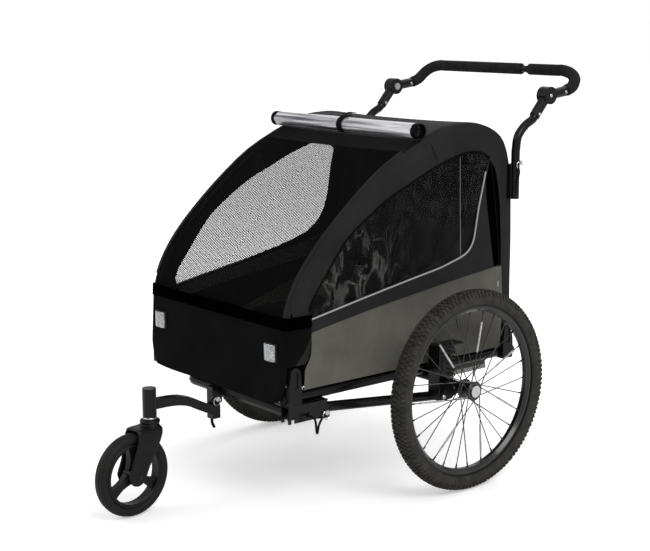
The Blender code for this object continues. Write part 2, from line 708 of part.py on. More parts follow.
window_arch = [(y, z) for y, z in inner_hem
               if z > window_low(y) + 0.012 and y < WINDOW_BACK_Y + 0.024 and z > WINDOW_LOW_FRONT_Z]
window_front = (window_arch[0][0] + 0.004, window_low(window_arch[0][0]) + 0.006)
window_line = [window_front, *window_arch,
               (WINDOW_BACK_Y + 0.020, 0.735), (WINDOW_BACK_Y + 0.006, 0.650),
               (WINDOW_BACK_Y - 0.010, 0.590), (WINDOW_BACK_Y - 0.040, window_low(0.075)),
               (-0.050, window_low(-0.050)), (-0.220, window_low(-0.220))]
hem_step_z = BAND_TOP_Z + HEM_ROOM   # below it the front panel wraps round the hoop
leg_front = [(y + WRAP_HEM, z) for y, z in fine_line if hem_foot_z < z < hem_step_z and y < 0]
outer_up = [*leg_front, (front_y(fine_line, hem_step_z) + WRAP_HEM, hem_step_z),
            (front_y(outer_hem, hem_step_z), hem_step_z),
            *[(y, z) for y, z in outer_hem if z > hem_foot_z and (z > hem_step_z or y > 0)]]
grey_line_top = [(y, grey_top(y)) for y in np.linspace(GREY_REAR_Y, GREY_FRONT_Y, 7)]
inner_front = [(y, z) for y, z in inner_hem if hem_foot_z < z < GREY_TOP_FRONT_Z and y < 0]
skin_line = [(outer_up[0][0], hem_foot_z), *outer_up, (outer_up[-1][0], hem_foot_z),
             (GREY_REAR_Y, hem_foot_z), *grey_line_top, *reversed(inner_front),
             (inner_front[0][0], hem_foot_z)]
cloth_in = HOOP_RADIUS + GAP
cloth_out = cloth_in + CLOTH
grey_line = [(min(y, GREY_REAR_Y - GAP), z - GAP) for y, z in grey_line_top]
grey_line += [(GREY_FRONT_Y, 0.410), (GREY_FRONT_Y - 0.004, 0.380),
              (GREY_TOE_Y + 0.010, 0.358), (GREY_TOE_Y + 0.010, GREY_BOTTOM_Z),
              (GREY_REAR_Y - GAP, GREY_BOTTOM_Z)]


def shrink(ring, distance):
    """A closed outline drawn in by a distance."""
    pts = np.array(ring)
    area = 0.5 * np.sum(pts[:, 0] * np.roll(pts[:, 1], -1) - np.roll(pts[:, 0], -1) * pts[:, 1])
    ahead = np.roll(pts, -1, axis=0) - pts
    ahead /= np.linalg.norm(ahead, axis=1)[:, None]
    normal = np.stack([-ahead[:, 1], ahead[:, 0]], axis=1) * math.copysign(1.0, area)
    bisector = normal + np.roll(normal, 1, axis=0)
    bisector /= np.sum(bisector * normal, axis=1)[:, None]
    return [tuple(p) for p in pts + bisector * distance]


for side, s in SIDES:
    fold = sides_of[side]
    low, high = sorted((s * cloth_in, s * cloth_out))
    drop = (0, 0, -HINGE_Z)
    slab(f"side_cloth_{side}", skin_line, "x", low, high, CLOTH_BLACK, fold,
         holes=[window_line], location=drop)
    slab(f"side_window_{side}", shrink(window_line, GAP), "x", low, high, CLEAR_FILM, fold,
         location=drop)
    slab(f"side_panel_{side}", grey_line, "x", low, high, CLOTH_GREY, fold, location=drop)

    # Socket for the handlebar post, on the hoop's rear leg
    saddle_in = RAIL_X + cloth_out + GAP
    x_low, x_high = sorted((s * (saddle_in - RAIL_X), s * (POST_X - RAIL_X)))
    saddle = box(f"post_socket_{side}", (x_low, POST_Y - SADDLE_HALF, SADDLE_LOW_Z - HINGE_Z),
                 (x_high, POST_Y + SADDLE_HALF, SADDLE_TOP_Z - HINGE_Z), BLACK_PLASTIC, fold, 0.0012)
    cut(saddle, cylinder(f"post_bore_{side}", POST_RADIUS + GAP,
                         (s * (POST_X - RAIL_X), POST_Y, SADDLE_LOW_Z - HINGE_Z - 0.01),
                         (s * (POST_X - RAIL_X), POST_Y, SADDLE_TOP_Z - HINGE_Z + 0.01),
                         None, fold))

# Roof and rear cloth, one strip over both hoops
roof_half = RAIL_X + cloth_out
strip_in = HEM_OUT + GAP


def strip_solid(name, line, half, finish, thickness=CLOTH):
    """Cloth stretched between the hoops along a line of (y, z) points."""
    over = beside(line, thickness)
    ring = [*line, *reversed(over)]
    return slab(name, ring, "x", -half, half, finish, root)


over_line = beside(fine_line, strip_in)


def parted(line, y):
    """A line of (y, z) points parted where its upper side passes y."""
    for k in range(1, len(line)):
        (y0, z0), (y1, z1) = line[k - 1], line[k]
        if z0 > SHOULDER_Z and y0 <= y < y1:
            spot = (y, z0 + (z1 - z0) * (y - y0) / (y1 - y0))
            return [*line[:k], spot], [spot, *line[k:]]
    return line, line


roof_line = [(y, z) for y, z in parted(over_line, ROOF_FRONT_Y + GAP)[1] if z > REAR_HEM_Z]
canopy = strip_solid("canopy", [*roof_line, (roof_line[-1][0], REAR_HEM_Z)], roof_half, CLOTH_BLACK)
for side, s in SIDES:
    low, high = sorted((s * (bracket_in - HEM_ROOM), s * (roof_half + HEM_ROOM)))
    cut(canopy, box(f"rear_notch_{side}", (low, HOOP_REAR_Y, REAR_HEM_Z - HEM_ROOM),
                    (high, HOOP_REAR_Y + 2 * HEM_OUT, hem_foot_z), None, root))
screen_low_z = BAND_TOP_Z + GAP
screen_line = [(front_y(over_line, screen_low_z), screen_low_z),
               *[(y, z) for y, z in parted(over_line, ROOF_FRONT_Y - GAP)[0] if z > screen_low_z]]
strip_solid("front_screen", screen_line, roof_half, MESH_CLOTH)

# Front panel: wraps round both front corners, cut away above the hinge brackets
front_in_y = min(y for y, z in over_line) - GAP
wrap_in = roof_half + GAP
wrap_r = wrap_in - RAIL_X


def front_path(lean, out):
    """Plan outline of the wrapped panel at one height."""
    face = front_in_y - lean - out
    reach = wrap_in + out
    left = arc((reach - wrap_r, face + wrap_r), wrap_r, 0, -90, 4)
    right = arc((-reach + wrap_r, face + wrap_r), wrap_r, -90, -180, 4)
    return [(reach, WRAP_BACK_Y), *left, *right, (-reach, WRAP_BACK_Y)]


def loft(name, rings, finish):
    """A solid skinned over rings of points that share one count."""
    work = bmesh.new()
    rows = [[work.verts.new(p) for p in ring] for ring in rings]
    count = len(rows[0])
    for low, high in zip(rows, rows[1:]):
        for k in range(count):
            work.faces.new((low[k], low[(k + 1) % count], high[(k + 1) % count], high[k]))
    work.faces.new(list(reversed(rows[0])))
    work.faces.new(rows[-1])
    bmesh.ops.recalc_face_normals(work, faces=work.faces)
    data = bpy.data.meshes.new(name)
    work.to_mesh(data)
    work.free()
    return new_object(name, data, finish, (0, 0, 0), root)


panel_rings = []
for z in (PANEL_BOTTOM_Z, 0.5 * (PANEL_BOTTOM_Z + BAND_TOP_Z), BAND_TOP_Z):
    share = (BAND_TOP_Z - z) / (BAND_TOP_Z - PANEL_BOTTOM_Z)
    inner = front_path(PANEL_LEAN * share, 0.0)
    outer = front_path(PANEL_LEAN * share, CLOTH)
    panel_rings.append([(x, y, z) for x, y in [*inner, *reversed(outer)]])
front_panel = loft("front_panel", panel_rings, CLOTH_BLACK)
for side, s in SIDES:
    low, high = sorted((s * (bracket_in - 0.004), s * (wrap_in + 0.030)))
    cut(front_panel, box(f"bracket_cut_{side}", (low, front_in_y - 0.060, PANEL_BOTTOM_Z - 0.010),
                         (high, WRAP_BACK_Y + 0.010, WRAP_BOTTOM_Z), None, root))

# Rolled rain cover on the roof's front edge, and the strap that holds it
under_roll = parted(over_line, ROLL_Y)[1]
roll_way = Vector((under_roll[0][1] - under_roll[1][1], under_roll[1][0] - under_roll[0][0]))
roll_at = Vector(under_roll[0]) + roll_way.normalized() * (CLOTH + ROLL_RADIUS + STRAP_THICK + 3 * GAP)
cylinder("rain_roll", ROLL_RADIUS, (-ROLL_HALF, *roll_at), (ROLL_HALF, *roll_at),
         CLEAR_FILM, root, segments=16)
strap_in = ROLL_RADIUS + GAP
turned("roll_strap",
       [(strap_in, STRAP_WIDE / 2), (strap_in + STRAP_THICK, STRAP_WIDE / 2),
        (strap_in + STRAP_THICK, -STRAP_WIDE / 2), (strap_in, -STRAP_WIDE / 2)],
       "x", CLOTH_BLACK, root, (0, *roll_at), segments=16, closed=True)

# Cabin: floor, seat and seat back
floor_low = RAIL_Z + CROSS_RADIUS + GAP
floor_top = floor_low + FLOOR_THICK
floor = box("floor", (-FLOOR_HALF, FLOOR_FRONT_Y, floor_low), (FLOOR_HALF, FLOOR_REAR_Y, floor_top),
            CLOTH_BLACK, root)
for place, y in (("seat", SEAT_FRONT_Y - FLOOR_SEAM_ROOM),
                 ("back", BACK_FOOT_Y + BACK_THICK + FLOOR_SEAM_ROOM)):
    cut(floor, box(f"floor_seam_{place}", (-2 * FLOOR_HALF, y - FLOOR_SEAM, floor_top - FLOOR_SEAM_DEEP),
                   (2 * FLOOR_HALF, y, floor_top + FLOOR_SEAM_DEEP), None, root))


def pad(name, half, long, tall, crown, pull, place, finish):
    """A stuffed pad: flat below, its sides drawn in and its top crowned to each side of a seam.

    It is made lying down, its low edge on y = 0, and put in place by a matrix.
    """
    work = bmesh.new()

    def spot(u, v, inset, z):
        x = half * u * (1 - pull / half * (1 - v * v)) - math.copysign(inset, u) * (abs(u) == 1)
        y = long / 2 * (1 + v * (1 - 2 * pull / long * (1 - u * u)))
        return work.verts.new((x, y - math.copysign(inset, v) * (abs(v) == 1), z))

    def top_z(u, v):
        swell = (1 - u ** 4) * (1 - v ** 4)
        seam = SEAM_DEEP * (1 - v ** 4) * (u == 0)
        return tall - crown + crown * swell - seam

    us = np.linspace(-1, 1, PAD_COLUMNS + 1).round(9)
    vs = np.linspace(-1, 1, PAD_ROWS + 1).round(9)
    top = [[spot(u, v, PAD_EDGE, top_z(u, v)) for u in us] for v in vs]
    rows = [top[0][:-1] + [row[-1] for row in top[:-1]] + top[-1][:0:-1]
            + [row[0] for row in reversed(top[1:])]]
    rim = [(u, -1.0) for u in us[:-1]] + [(1.0, v) for v in vs[:-1]]
    rim += [(-u, 1.0) for u in us[:-1]] + [(-1.0, -v) for v in vs[:-1]]
    for inset, z in ((0.0, tall - crown - PAD_EDGE), (0.0, PAD_EDGE), (PAD_EDGE, 0.0)):
        rows.append([spot(u, v, inset, z) for u, v in rim])
    for low, high in zip(top, top[1:]):
        for k in range(PAD_COLUMNS):
            work.faces.new((low[k], low[k + 1], high[k + 1], high[k]))
    for high, low in zip(rows, rows[1:]):
        for k, corner in enumerate(low):
            after = (k + 1) % len(low)
            work.faces.new((corner, low[after], high[after], high[k]))
    work.faces.new(list(reversed(rows[-1])))
    bmesh.ops.transform(work, matrix=place, verts=work.verts)
    bmesh.ops.recalc_face_normals(work, faces=work.faces)
    data = bpy.data.meshes.new(name)
    work.to_mesh(data)
    work.free()
    return smooth(new_object(name, data, finish, (0, 0, 0), root))


pad("seat", SEAT_HALF, SEAT_REAR_Y - SEAT_FRONT_Y, SEAT_TOP_Z - floor_top - GAP, SEAT_CROWN, SEAT_PULL,
    Matrix.Translation((0, SEAT_FRONT_Y, floor_top + GAP)), CLOTH_BLACK)
back_rise = Vector((0, BACK_TOP_Y - BACK_FOOT_Y, BACK_TOP_Z - floor_top))
back_tall = BACK_THICK + BACK_CROWN + PAD_EDGE
back_slope = math.atan2(back_rise.z, back_rise.y)
back_turn = Matrix.Rotation(back_slope, 4, "X")
back_foot = Vector((0, BACK_FOOT_Y + BACK_THICK, floor_top + GAP - PAD_EDGE * math.cos(back_slope)))
pad("seat_back", SEAT_HALF, back_rise.length, back_tall, BACK_CROWN, SEAT_PULL,
    Matrix.Translation(back_foot) @ back_turn, CLOTH_BLACK)

# Handlebar posts, in a body that lifts out of the sockets
posts = empty("handle_lift", (0, POST_Y, POST_BOTTOM_Z), root)
low_way = Vector(LOW_LUG).normalized()
high_way = Vector(HIGH_LUG).normalized()
low_reach = Vector(LOW_LUG).length
high_reach = Vector(HIGH_LUG).length
tube_stop = HUB_RADIUS + 0.0127      # where a tube ends inside its lug
lug_mouth = 0.6 * LUG_RADIUS


def from_hub(way, distance):
    """A point (y, z) on a lug's axis."""
    return (HUB_Y + way[0] * distance, HUB_Z + way[1] * distance)


post_line = [(POST_Y, POST_BOTTOM_Z), *curve_through(
    [(POST_Y, POST_BEND_Z), *[(POST_Y + y, POST_BEND_Z + z) for y, z in POST_SHOULDERS],
     from_hub(low_way, low_reach + 2.4 * lug_mouth), from_hub(low_way, low_reach + 1.2 * lug_mouth)],
    2), from_hub(low_way, tube_stop)]
for side, s in SIDES:
    x = s * POST_X
    post = tube(f"post_{side}", [(x, y - POST_Y, z - POST_BOTTOM_Z) for y, z in post_line],
                POST_RADIUS, BLACK_STEEL, posts)
    cut(post, cylinder(f"post_pin_hole_{side}", PIN_RADIUS + GAP,
                       (x - 0.03, 0, SADDLE_TOP_Z + PIN_RADIUS + GAP - POST_BOTTOM_Z),
                       (x + 0.03, 0, SADDLE_TOP_Z + PIN_RADIUS + GAP - POST_BOTTOM_Z),
                       None, posts, segments=10))

# Tilting hubs between the posts and the handlebar
tilt = empty("handlebar_tilt", (0, HUB_Y - POST_Y, HUB_Z - POST_BOTTOM_Z), posts)
hub_at_posts = Vector(tilt.location)
lug_start = HUB_RADIUS - 0.006
for side, s in SIDES:
    x = s * POST_X
    for name, parent, base, outward, reach in (
            (f"hub_lower_{side}", posts, hub_at_posts, s, LOW_LUG),
            (f"hub_upper_{side}", tilt, Vector((0, 0, 0)), -s, HIGH_LUG)):
        disc = cylinder(f"disc_{name}", HUB_RADIUS, base + Vector((x + outward * GAP, 0, 0)),
                        base + Vector((x + outward * HUB_HALF, 0, 0)), None, parent)
        way = Vector((0, *reach)).normalized()
        middle = base + Vector((x, 0, 0))
        sleeve = cylinder(name, LUG_RADIUS, middle + way * lug_start,
                          middle + Vector((0, *reach)) + way * LUG_RADIUS * 0.6,
                          BLACK_PLASTIC, parent, segments=14)
        other_half = cylinder(f"other_half_{name}", HUB_RADIUS + RUN,
                              middle + Vector((outward * GAP, 0, 0)),
                              middle - Vector((outward * 2 * HUB_HALF, 0, 0)), None, parent)
        join(cut(sleeve, other_half), disc)
        bore_end = middle + Vector((0, *reach))
        cut(sleeve, cylinder(f"tube_bore_{name}",
                             (POST_RADIUS if parent == posts else BAR_RADIUS) + GAP,
                             middle + way * (HUB_RADIUS + 0.012),
                             bore_end + way * 2 * LUG_RADIUS, None, parent, segments=18))

    # Push button in the hub's inner face
    face = x - s * HUB_HALF
    cut(sleeve, cylinder(f"button_bore_{side}", BUTTON_RADIUS + GAP,
                         (face + s * (BUTTON_SEAT + BUTTON_TRAVEL + GAP), 0, 0),
                         (face - s * BUTTON_SEAT, 0, 0), None, tilt, segments=16))
    button = empty(f"hub_button_slide_{side}", (face, 0, 0), tilt)
    cylinder(f"hub_button_{side}", BUTTON_RADIUS, (s * BUTTON_SEAT, 0, 0), (-s * BUTTON_PROUD, 0, 0),
             GREY_PLASTIC, button, segments=16)

# Handlebar: one bent tube with two foam grips
bar_start = [(POST_X, *from_hub(high_way, d)) for d in (tube_stop, high_reach + lug_mouth + FOAM_START)]
bar_bend = [(POST_X - back, BAR_Y - ahead, BAR_Z - below) for back, ahead, below in BAR_BEND]
bar_left = [bar_start[0], *curve_through([bar_start[1], *bar_bend, (BAR_STRAIGHT_X, BAR_Y, BAR_Z)], 2)]
bar_points = [*bar_left, *map(mirror_x, reversed(bar_left))]
bar_points = [(x, y - HUB_Y, z - HUB_Z) for x, y, z in bar_points]
tube("handlebar", bar_points, BAR_RADIUS, BLACK_STEEL, tilt)
foam_bend = bar_points[1:len(bar_left)]
for side, end_x, bend in (("left", FOAM_GAP_X + FOAM_GAP / 2, foam_bend),
                          ("right", FOAM_GAP_X - FOAM_GAP / 2, list(map(mirror_x, foam_bend)))):
    run_of_foam = [*bend, (end_x, BAR_Y - HUB_Y, BAR_Z - HUB_Z)]
    grip = tube(f"grip_{side}", run_of_foam, FOAM_RADIUS, FOAM, tilt)
    cut(grip, tube(f"grip_bore_{side}", bar_points, BAR_RADIUS + GAP, None, tilt))


def ring_wire(name, centre, parent):
    """The split ring that hangs on a pin's head."""
    work = bmesh.new()
    bpy.ops.mesh.primitive_torus_add(major_segments=12, minor_segments=4,
                                     major_radius=RING_RADIUS, minor_radius=RING_WIRE)
    made = bpy.context.object
    work.free()
    made.name = name
    for home in list(made.users_collection):
        home.objects.unlink(made)
    parts.objects.link(made)
    made.data.transform(Matrix.Rotation(math.radians(90), 4, "Y"))
    made.location = centre
    made.parent = parent
    return smooth(made)


def quick_pin(name, sign, shaft, head_from, parent):
    """A quick-release pin along X: shaft from and to, head on the outer side, ring on the head."""
    made = cylinder(name, PIN_RADIUS, (sign * shaft, 0, 0), (sign * (head_from + PIN_HEAD / 2), 0, 0),
                    BARE_STEEL, parent, segments=12)
    head = cylinder(f"head_{name}", PIN_HEAD_RADIUS, (sign * head_from, 0, 0),
                    (sign * (head_from + PIN_HEAD), 0, 0), None, parent, segments=12)
    drop = RING_RADIUS - PIN_HEAD_RADIUS + 2 * RING_WIRE
    ring = ring_wire(f"ring_{name}", (sign * (head_from + PIN_HEAD / 2), 0, -drop), parent)
    return join(made, head, ring)


for side, s in SIDES:
    pin_z = SADDLE_TOP_Z + PIN_RADIUS + GAP - POST_BOTTOM_Z
    slide = empty(f"handle_pin_slide_{side}", (s * POST_X, 0, pin_z), posts)
    quick_pin(f"handle_pin_{side}", s, -(POST_RADIUS + 0.001), POST_RADIUS + RUN, slide)
slide = empty("jogger_pin_slide", (0, socket_y, JOGGER_PIN_Z), root)
quick_pin("jogger_pin", 1.0, -(socket_half + 0.002), socket_half + RUN, slide)

# Suspension towers, swing arms and springs
arm_in_x = TOWER_X + TOWER_PLATE + GAP
spring_top_z = TOWER_TOP_Z - TOWER_PLATE
hub_in = TRACK_HALF - WHEEL_HUB_HALF
arm_seat = SPRING_LOW_Z - GAP
seat_half = SPRING_MEAN_RADIUS + SPRING_WIRE_RADIUS
housing = AXLE_RADIUS + 0.008
arm_line = [*arc((ARM_PIVOT_Y, ARM_PIVOT_Z), ARM_BOSS_RADIUS, 120, 275, 8),
            *arc((0, WHEEL_RADIUS), housing, 280, 420, 8),
            (SPRING_Y + seat_half, arm_seat), (SPRING_Y - seat_half, arm_seat)]
turns = SPRING_CURLS * SPRING_POINTS
rise = spring_top_z - SPRING_LOW_Z - 2 * (SPRING_WIRE_RADIUS + GAP)
for side, s in SIDES:
    x_low, x_high = sorted((s * TOWER_X, s * TOWER_OUT_X))
    tower = box(f"tower_{side}", (x_low, TOWER_FRONT_Y, TOWER_LOW_Z),
                (x_high, TOWER_REAR_Y, TOWER_TOP_Z), BLACK_STEEL, root)
    x_low, x_high = sorted((s * (TOWER_X + TOWER_PLATE), s * (TOWER_OUT_X + TOWER_PLATE)))
    cut(tower,
        box(f"tower_space_{side}", (x_low, TOWER_FRONT_Y + TOWER_PLATE, TOWER_LOW_Z - TOWER_PLATE),
            (x_high, TOWER_REAR_Y + TOWER_PLATE, TOWER_TOP_Z - TOWER_PLATE), None, root))

    swing = empty(f"swing_{side}", (0, ARM_PIVOT_Y, ARM_PIVOT_Z), root)
    x_low, x_high = sorted((s * ARM_IN_X, s * ARM_OUT_X))
    arm = slab(f"swing_arm_{side}", arm_line, "x", x_low, x_high, BLACK_PLASTIC, swing,
               location=(0, -ARM_PIVOT_Y, -ARM_PIVOT_Z))
    axle_y, axle_z = -ARM_PIVOT_Y, WHEEL_RADIUS - ARM_PIVOT_Z
    join(arm,
         cylinder(f"arm_boss_{side}", ARM_BOSS_RADIUS - 0.002, (s * arm_in_x, 0, 0),
                  (s * (ARM_IN_X + 0.001), 0, 0), None, swing, segments=16),
         cylinder(f"arm_shoulder_{side}", AXLE_RADIUS + 0.004, (s * (ARM_OUT_X - 0.001), axle_y, axle_z),
                  (s * (hub_in - RUN), axle_y, axle_z), None, swing, segments=16),
         cylinder(f"arm_axle_{side}", AXLE_RADIUS, (s * (hub_in - 0.004), axle_y, axle_z),
                  (s * (TRACK_HALF + BUTTON_FLOOR - GAP), axle_y, axle_z), None, swing, segments=16))

    coil = []
    for k in range(turns + 1):
        a = 2 * math.pi * k / SPRING_POINTS
        coil.append((s * (SPRING_X + SPRING_MEAN_RADIUS * math.cos(a)),
                     SPRING_Y + SPRING_MEAN_RADIUS * math.sin(a),
                     SPRING_LOW_Z + SPRING_WIRE_RADIUS + GAP + rise * k / turns))
    tube(f"spring_{side}", coil, SPRING_WIRE_RADIUS, SPRING_STEEL, root, sides=1)
    spots = np.array(coil)
    apart = np.linalg.norm(spots[:, None] - spots[None], axis=2)
    far = np.abs(np.subtract.outer(np.arange(len(spots)), np.arange(len(spots)))) > SPRING_POINTS / 2
    print(f"spring_{side}: least gap to itself",
          round(float(apart[far].min() - 2 * SPRING_WIRE_RADIUS) * 1000, 2), "mm")

    # Rear wheel: knobbly tyre, rim with spokes and hub, release button
    wheel = empty(f"wheel_{side}", (s * TRACK_HALF, -ARM_PIVOT_Y, WHEEL_RADIUS - ARM_PIVOT_Z), swing)
    seat_r = RIM_OUTER + 2 * GAP
    wall = [(seat_r, 0.44 * TYRE_HALF), (seat_r + 0.0060, 0.82 * TYRE_HALF),
            (seat_r + 0.0175, TYRE_HALF), (WHEEL_RADIUS - 0.0095, 0.84 * TYRE_HALF),
            (WHEEL_RADIUS - 0.0030, 0.50 * TYRE_HALF)]
    section = [*wall, (WHEEL_RADIUS, 0.0), *[(r, -w) for r, w in reversed(wall)]]
    pitch = 2 * math.pi / TREAD_LUGS
    work = bmesh.new()
    rows = []
    for column, depth in ((0.0, 0.0), (0.5, TREAD_DEPTH), (1.0, 0.0)):
        a = column * pitch
        row = []
        for k, (r, w) in enumerate(section):
            lugged = 2 < k < len(section) - 3
            shoulder = k in (2, len(section) - 3)
            r_here = r - depth if lugged else r
            w_here = w - math.copysign(0.5 * depth, w) if shoulder else w
            row.append(work.verts.new((w_here, r_here * math.sin(a), r_here * math.cos(a))))
        rows.append(row)
    for first, second in zip(rows, rows[1:]):
        for k in range(len(section)):
            after = (k + 1) % len(section)
            work.faces.new((first[k], first[after], second[after], second[k]))
    data = bpy.data.meshes.new(f"tyre_{side}")
    work.to_mesh(data)
    work.free()
    tyre = new_object(f"tyre_{side}", data, RUBBER, (0, 0, 0), wheel)
    step = empty(f"tread_step_{side}", (0, 0, 0), wheel, turn=(-pitch, 0, 0))
    around = tyre.modifiers.new("tread pitch", "ARRAY")
    around.count = TREAD_LUGS
    around.use_relative_offset = False
    around.use_object_offset = True
    around.offset_object = step
    around.use_merge_vertices = True
    around.use_merge_vertices_cap = True
    around.merge_threshold = WELD
    tyre = smooth(mesh_of(tyre), 25)
    bpy.data.objects.remove(step, do_unlink=True)

    rim_mid = (RIM_OUTER + RIM_INNER) / 2
    rim = turned(f"wheel_{side}_rim",
                 [(RIM_OUTER, RIM_HALF), (RIM_OUTER, -RIM_HALF), (rim_mid, -RIM_HALF),
                  (RIM_INNER, -0.35 * RIM_HALF), (RIM_INNER, 0.35 * RIM_HALF), (rim_mid, RIM_HALF)],
                 "x", BLACK_STEEL, wheel, segments=36, closed=True)
    bore = AXLE_RADIUS + RUN
    cap_bore = CAP_RADIUS + GAP
    hub_line = [(bore, -s * WHEEL_HUB_HALF), (HUB_FLANGE_RADIUS, -s * WHEEL_HUB_HALF),
                (HUB_FLANGE_RADIUS, -s * (WHEEL_HUB_HALF - FLANGE_THICK)),
                (HUB_CORE_RADIUS, -s * 0.5 * WHEEL_HUB_HALF),
                (HUB_CORE_RADIUS, s * 0.5 * WHEEL_HUB_HALF),
                (HUB_FLANGE_RADIUS, s * (WHEEL_HUB_HALF - FLANGE_THICK)),
                (HUB_FLANGE_RADIUS, s * WHEEL_HUB_HALF),
                (cap_bore, s * WHEEL_HUB_HALF), (cap_bore, s * BUTTON_FLOOR), (bore, s * BUTTON_FLOOR)]
    hub = turned(f"hub_{side}", hub_line, "x", None, wheel, segments=16, closed=True)
    work = bmesh.new()
    for k in range(SPOKES):
        face = 1 if k % 2 else -1
        lead = 1 if (k // 2) % 2 else -1
        at_rim = 2 * math.pi * k / SPOKES
        at_hub = at_rim + lead * SPOKE_SWEEP
        hub_r = HUB_FLANGE_RADIUS - 0.0035
        hub_x = face * (WHEEL_HUB_HALF - FLANGE_THICK / 2 - 0.0012 * lead)
        a = Vector((hub_x, hub_r * math.sin(at_hub), hub_r * math.cos(at_hub)))
        rim_r = RIM_INNER + 0.002
        b = Vector((face * 0.0015, rim_r * math.sin(at_rim), rim_r * math.cos(at_rim)))
        along = b - a
        turn = Matrix.Translation((a + b) / 2) @ along.to_track_quat("Z", "Y").to_matrix().to_4x4()
        bmesh.ops.create_cone(work, cap_ends=True, segments=3, radius1=SPOKE_RADIUS,
                              radius2=SPOKE_RADIUS, depth=along.length, matrix=turn)
    data = bpy.data.meshes.new(f"spokes_{side}")
    work.to_mesh(data)
    work.free()
    spokes = new_object(f"spokes_{side}", data, None, (0, 0, 0), wheel)
    join(rim, hub, spokes)
    rim.modifiers[-1].use_self = True
    press = empty(f"release_slide_{side}", (0, 0, 0), wheel)
    cylinder(f"release_button_{side}", CAP_RADIUS, (s * (WHEEL_HUB_HALF - 0.001), 0, 0),
             (s * (WHEEL_HUB_HALF + CAP_PROUD), 0, 0), BARE_STEEL, press, segments=18)

# Jogger arm: block and tongue in the socket, arched flat bar, head tube
bar_path = curve_through(
    [(STEER_Y, 0.2565), (-0.655, 0.2565), (-0.627, 0.2560), (-0.598, 0.2525), (-0.570, 0.2440),
     (-0.541, 0.2285), (socket_y - socket_half / 2, 0.2110)], 2)
jogger = slab("jogger_arm",
              [*beside(bar_path, ARM_TALL / 2), *reversed(beside(bar_path, -ARM_TALL / 2))],
              "x", -ARM_WIDE / 2 + 0.0025, ARM_WIDE / 2 - 0.0025, BLACK_STEEL, root)
tongue = bore_half - GAP
join(jogger,
     box("arm_block", (-socket_half, socket_y - socket_half, BLOCK_LOW_Z),
         (socket_half, socket_y + socket_half, SOCKET_LOW_Z - GAP), None, root),
     box("arm_tongue", (-tongue, socket_y - tongue, SOCKET_LOW_Z - 0.004),
         (tongue, socket_y + tongue, TONGUE_TOP_Z), None, root),
     cylinder("head_tube", HEAD_RADIUS, (0, STEER_Y, HEAD_LOW_Z), (0, STEER_Y, HEAD_TOP_Z),
              None, root),
     cylinder("head_bearing", HEAD_RADIUS - 0.0015, (0, STEER_Y, COLLAR_TOP_Z + RUN),
              (0, STEER_Y, HEAD_LOW_Z + GAP), None, root))
head_bore_top = HEAD_TOP_Z - 0.008
cut(jogger,
    cylinder("head_bore", STEERER_RADIUS + RUN, (0, STEER_Y, COLLAR_TOP_Z - RUN),
             (0, STEER_Y, head_bore_top), None, root),
    cylinder("tongue_hole", PIN_RADIUS + GAP, (-SOCKET_SIDE, socket_y, JOGGER_PIN_Z),
             (SOCKET_SIDE, socket_y, JOGGER_PIN_Z), None, root, segments=12))
# Swivelling fork and caster
swivel = empty("swivel", (0, STEER_Y, 0), root, turn=(0, 0, SWIVEL))
leg_in = CASTER_HALF + LEG_GAP
leg_out = leg_in + LEG_THICK
back_round = 2 * FORK_EDGE
fork_line = [*arc((back_round - CROWN_BACK, CROWN_TOP_Z - back_round), back_round, 90, 180, 3),
             *FORK_LINE, *arc((-TRAIL, CASTER_RADIUS), FORK_TOE_RADIUS, 150, 330, 9), *FORK_FRONT_LINE,
             *arc((CROWN_FRONT - back_round, CROWN_TOP_Z - back_round), back_round, 0, 90, 3)]
fork = rounded(slab("fork", fork_line, "x", -leg_out, leg_out, BLACK_PLASTIC, swivel), FORK_EDGE, 2)
cut(fork, cylinder("tyre_space", CASTER_RADIUS + TYRE_ROOM, (-leg_in, -TRAIL, CASTER_RADIUS),
                   (leg_in, -TRAIL, CASTER_RADIUS), None, swivel, segments=40))
join(fork,
     cylinder("collar", COLLAR_RADIUS, (0, 0, CROWN_TOP_Z - 0.002), (0, 0, COLLAR_TOP_Z),
              None, swivel),
     cylinder("steerer", STEERER_RADIUS, (0, 0, CROWN_TOP_Z), (0, 0, head_bore_top - GAP),
              None, swivel, segments=16),
     cylinder("caster_axle", CASTER_AXLE_RADIUS, (-leg_out - 0.001, -TRAIL, CASTER_RADIUS),
              (leg_out + 0.001, -TRAIL, CASTER_RADIUS), None, swivel, segments=12),
     cylinder("axle_nut_left", NUT_RADIUS, (leg_out - WELD_BITE, -TRAIL, CASTER_RADIUS),
              (leg_out + NUT_HIGH, -TRAIL, CASTER_RADIUS), None, swivel, segments=6),
     cylinder("axle_nut_right", NUT_RADIUS, (-leg_out + WELD_BITE, -TRAIL, CASTER_RADIUS),
              (-leg_out - NUT_HIGH, -TRAIL, CASTER_RADIUS), None, swivel, segments=6))
caster = empty("caster_spin", (0, -TRAIL, CASTER_RADIUS), swivel)
ring_half = CASTER_HALF - 0.003
rim = turned("caster_rim",
             [(CASTER_TREAD_INNER - GAP, ring_half), (CASTER_TREAD_INNER - GAP, -ring_half),
              (CASTER_RING_INNER, -ring_half), (CASTER_RING_INNER, ring_half)],
             "x", BLACK_PLASTIC, caster, segments=CASTER_STEPS, closed=True)
hub_width = CASTER_HALF + LEG_GAP - 2 * RUN
hub = turned("caster_hub",
             [(CASTER_AXLE_RADIUS + RUN, hub_width), (CASTER_HUB_RADIUS, hub_width),
              (CASTER_HUB_RADIUS, -hub_width), (CASTER_AXLE_RADIUS + RUN, -hub_width)],
             "x", None, caster, segments=16, closed=True)
low_r = CASTER_HUB_RADIUS - SPOKE_BITE
high_r = CASTER_RING_INNER + SPOKE_BITE
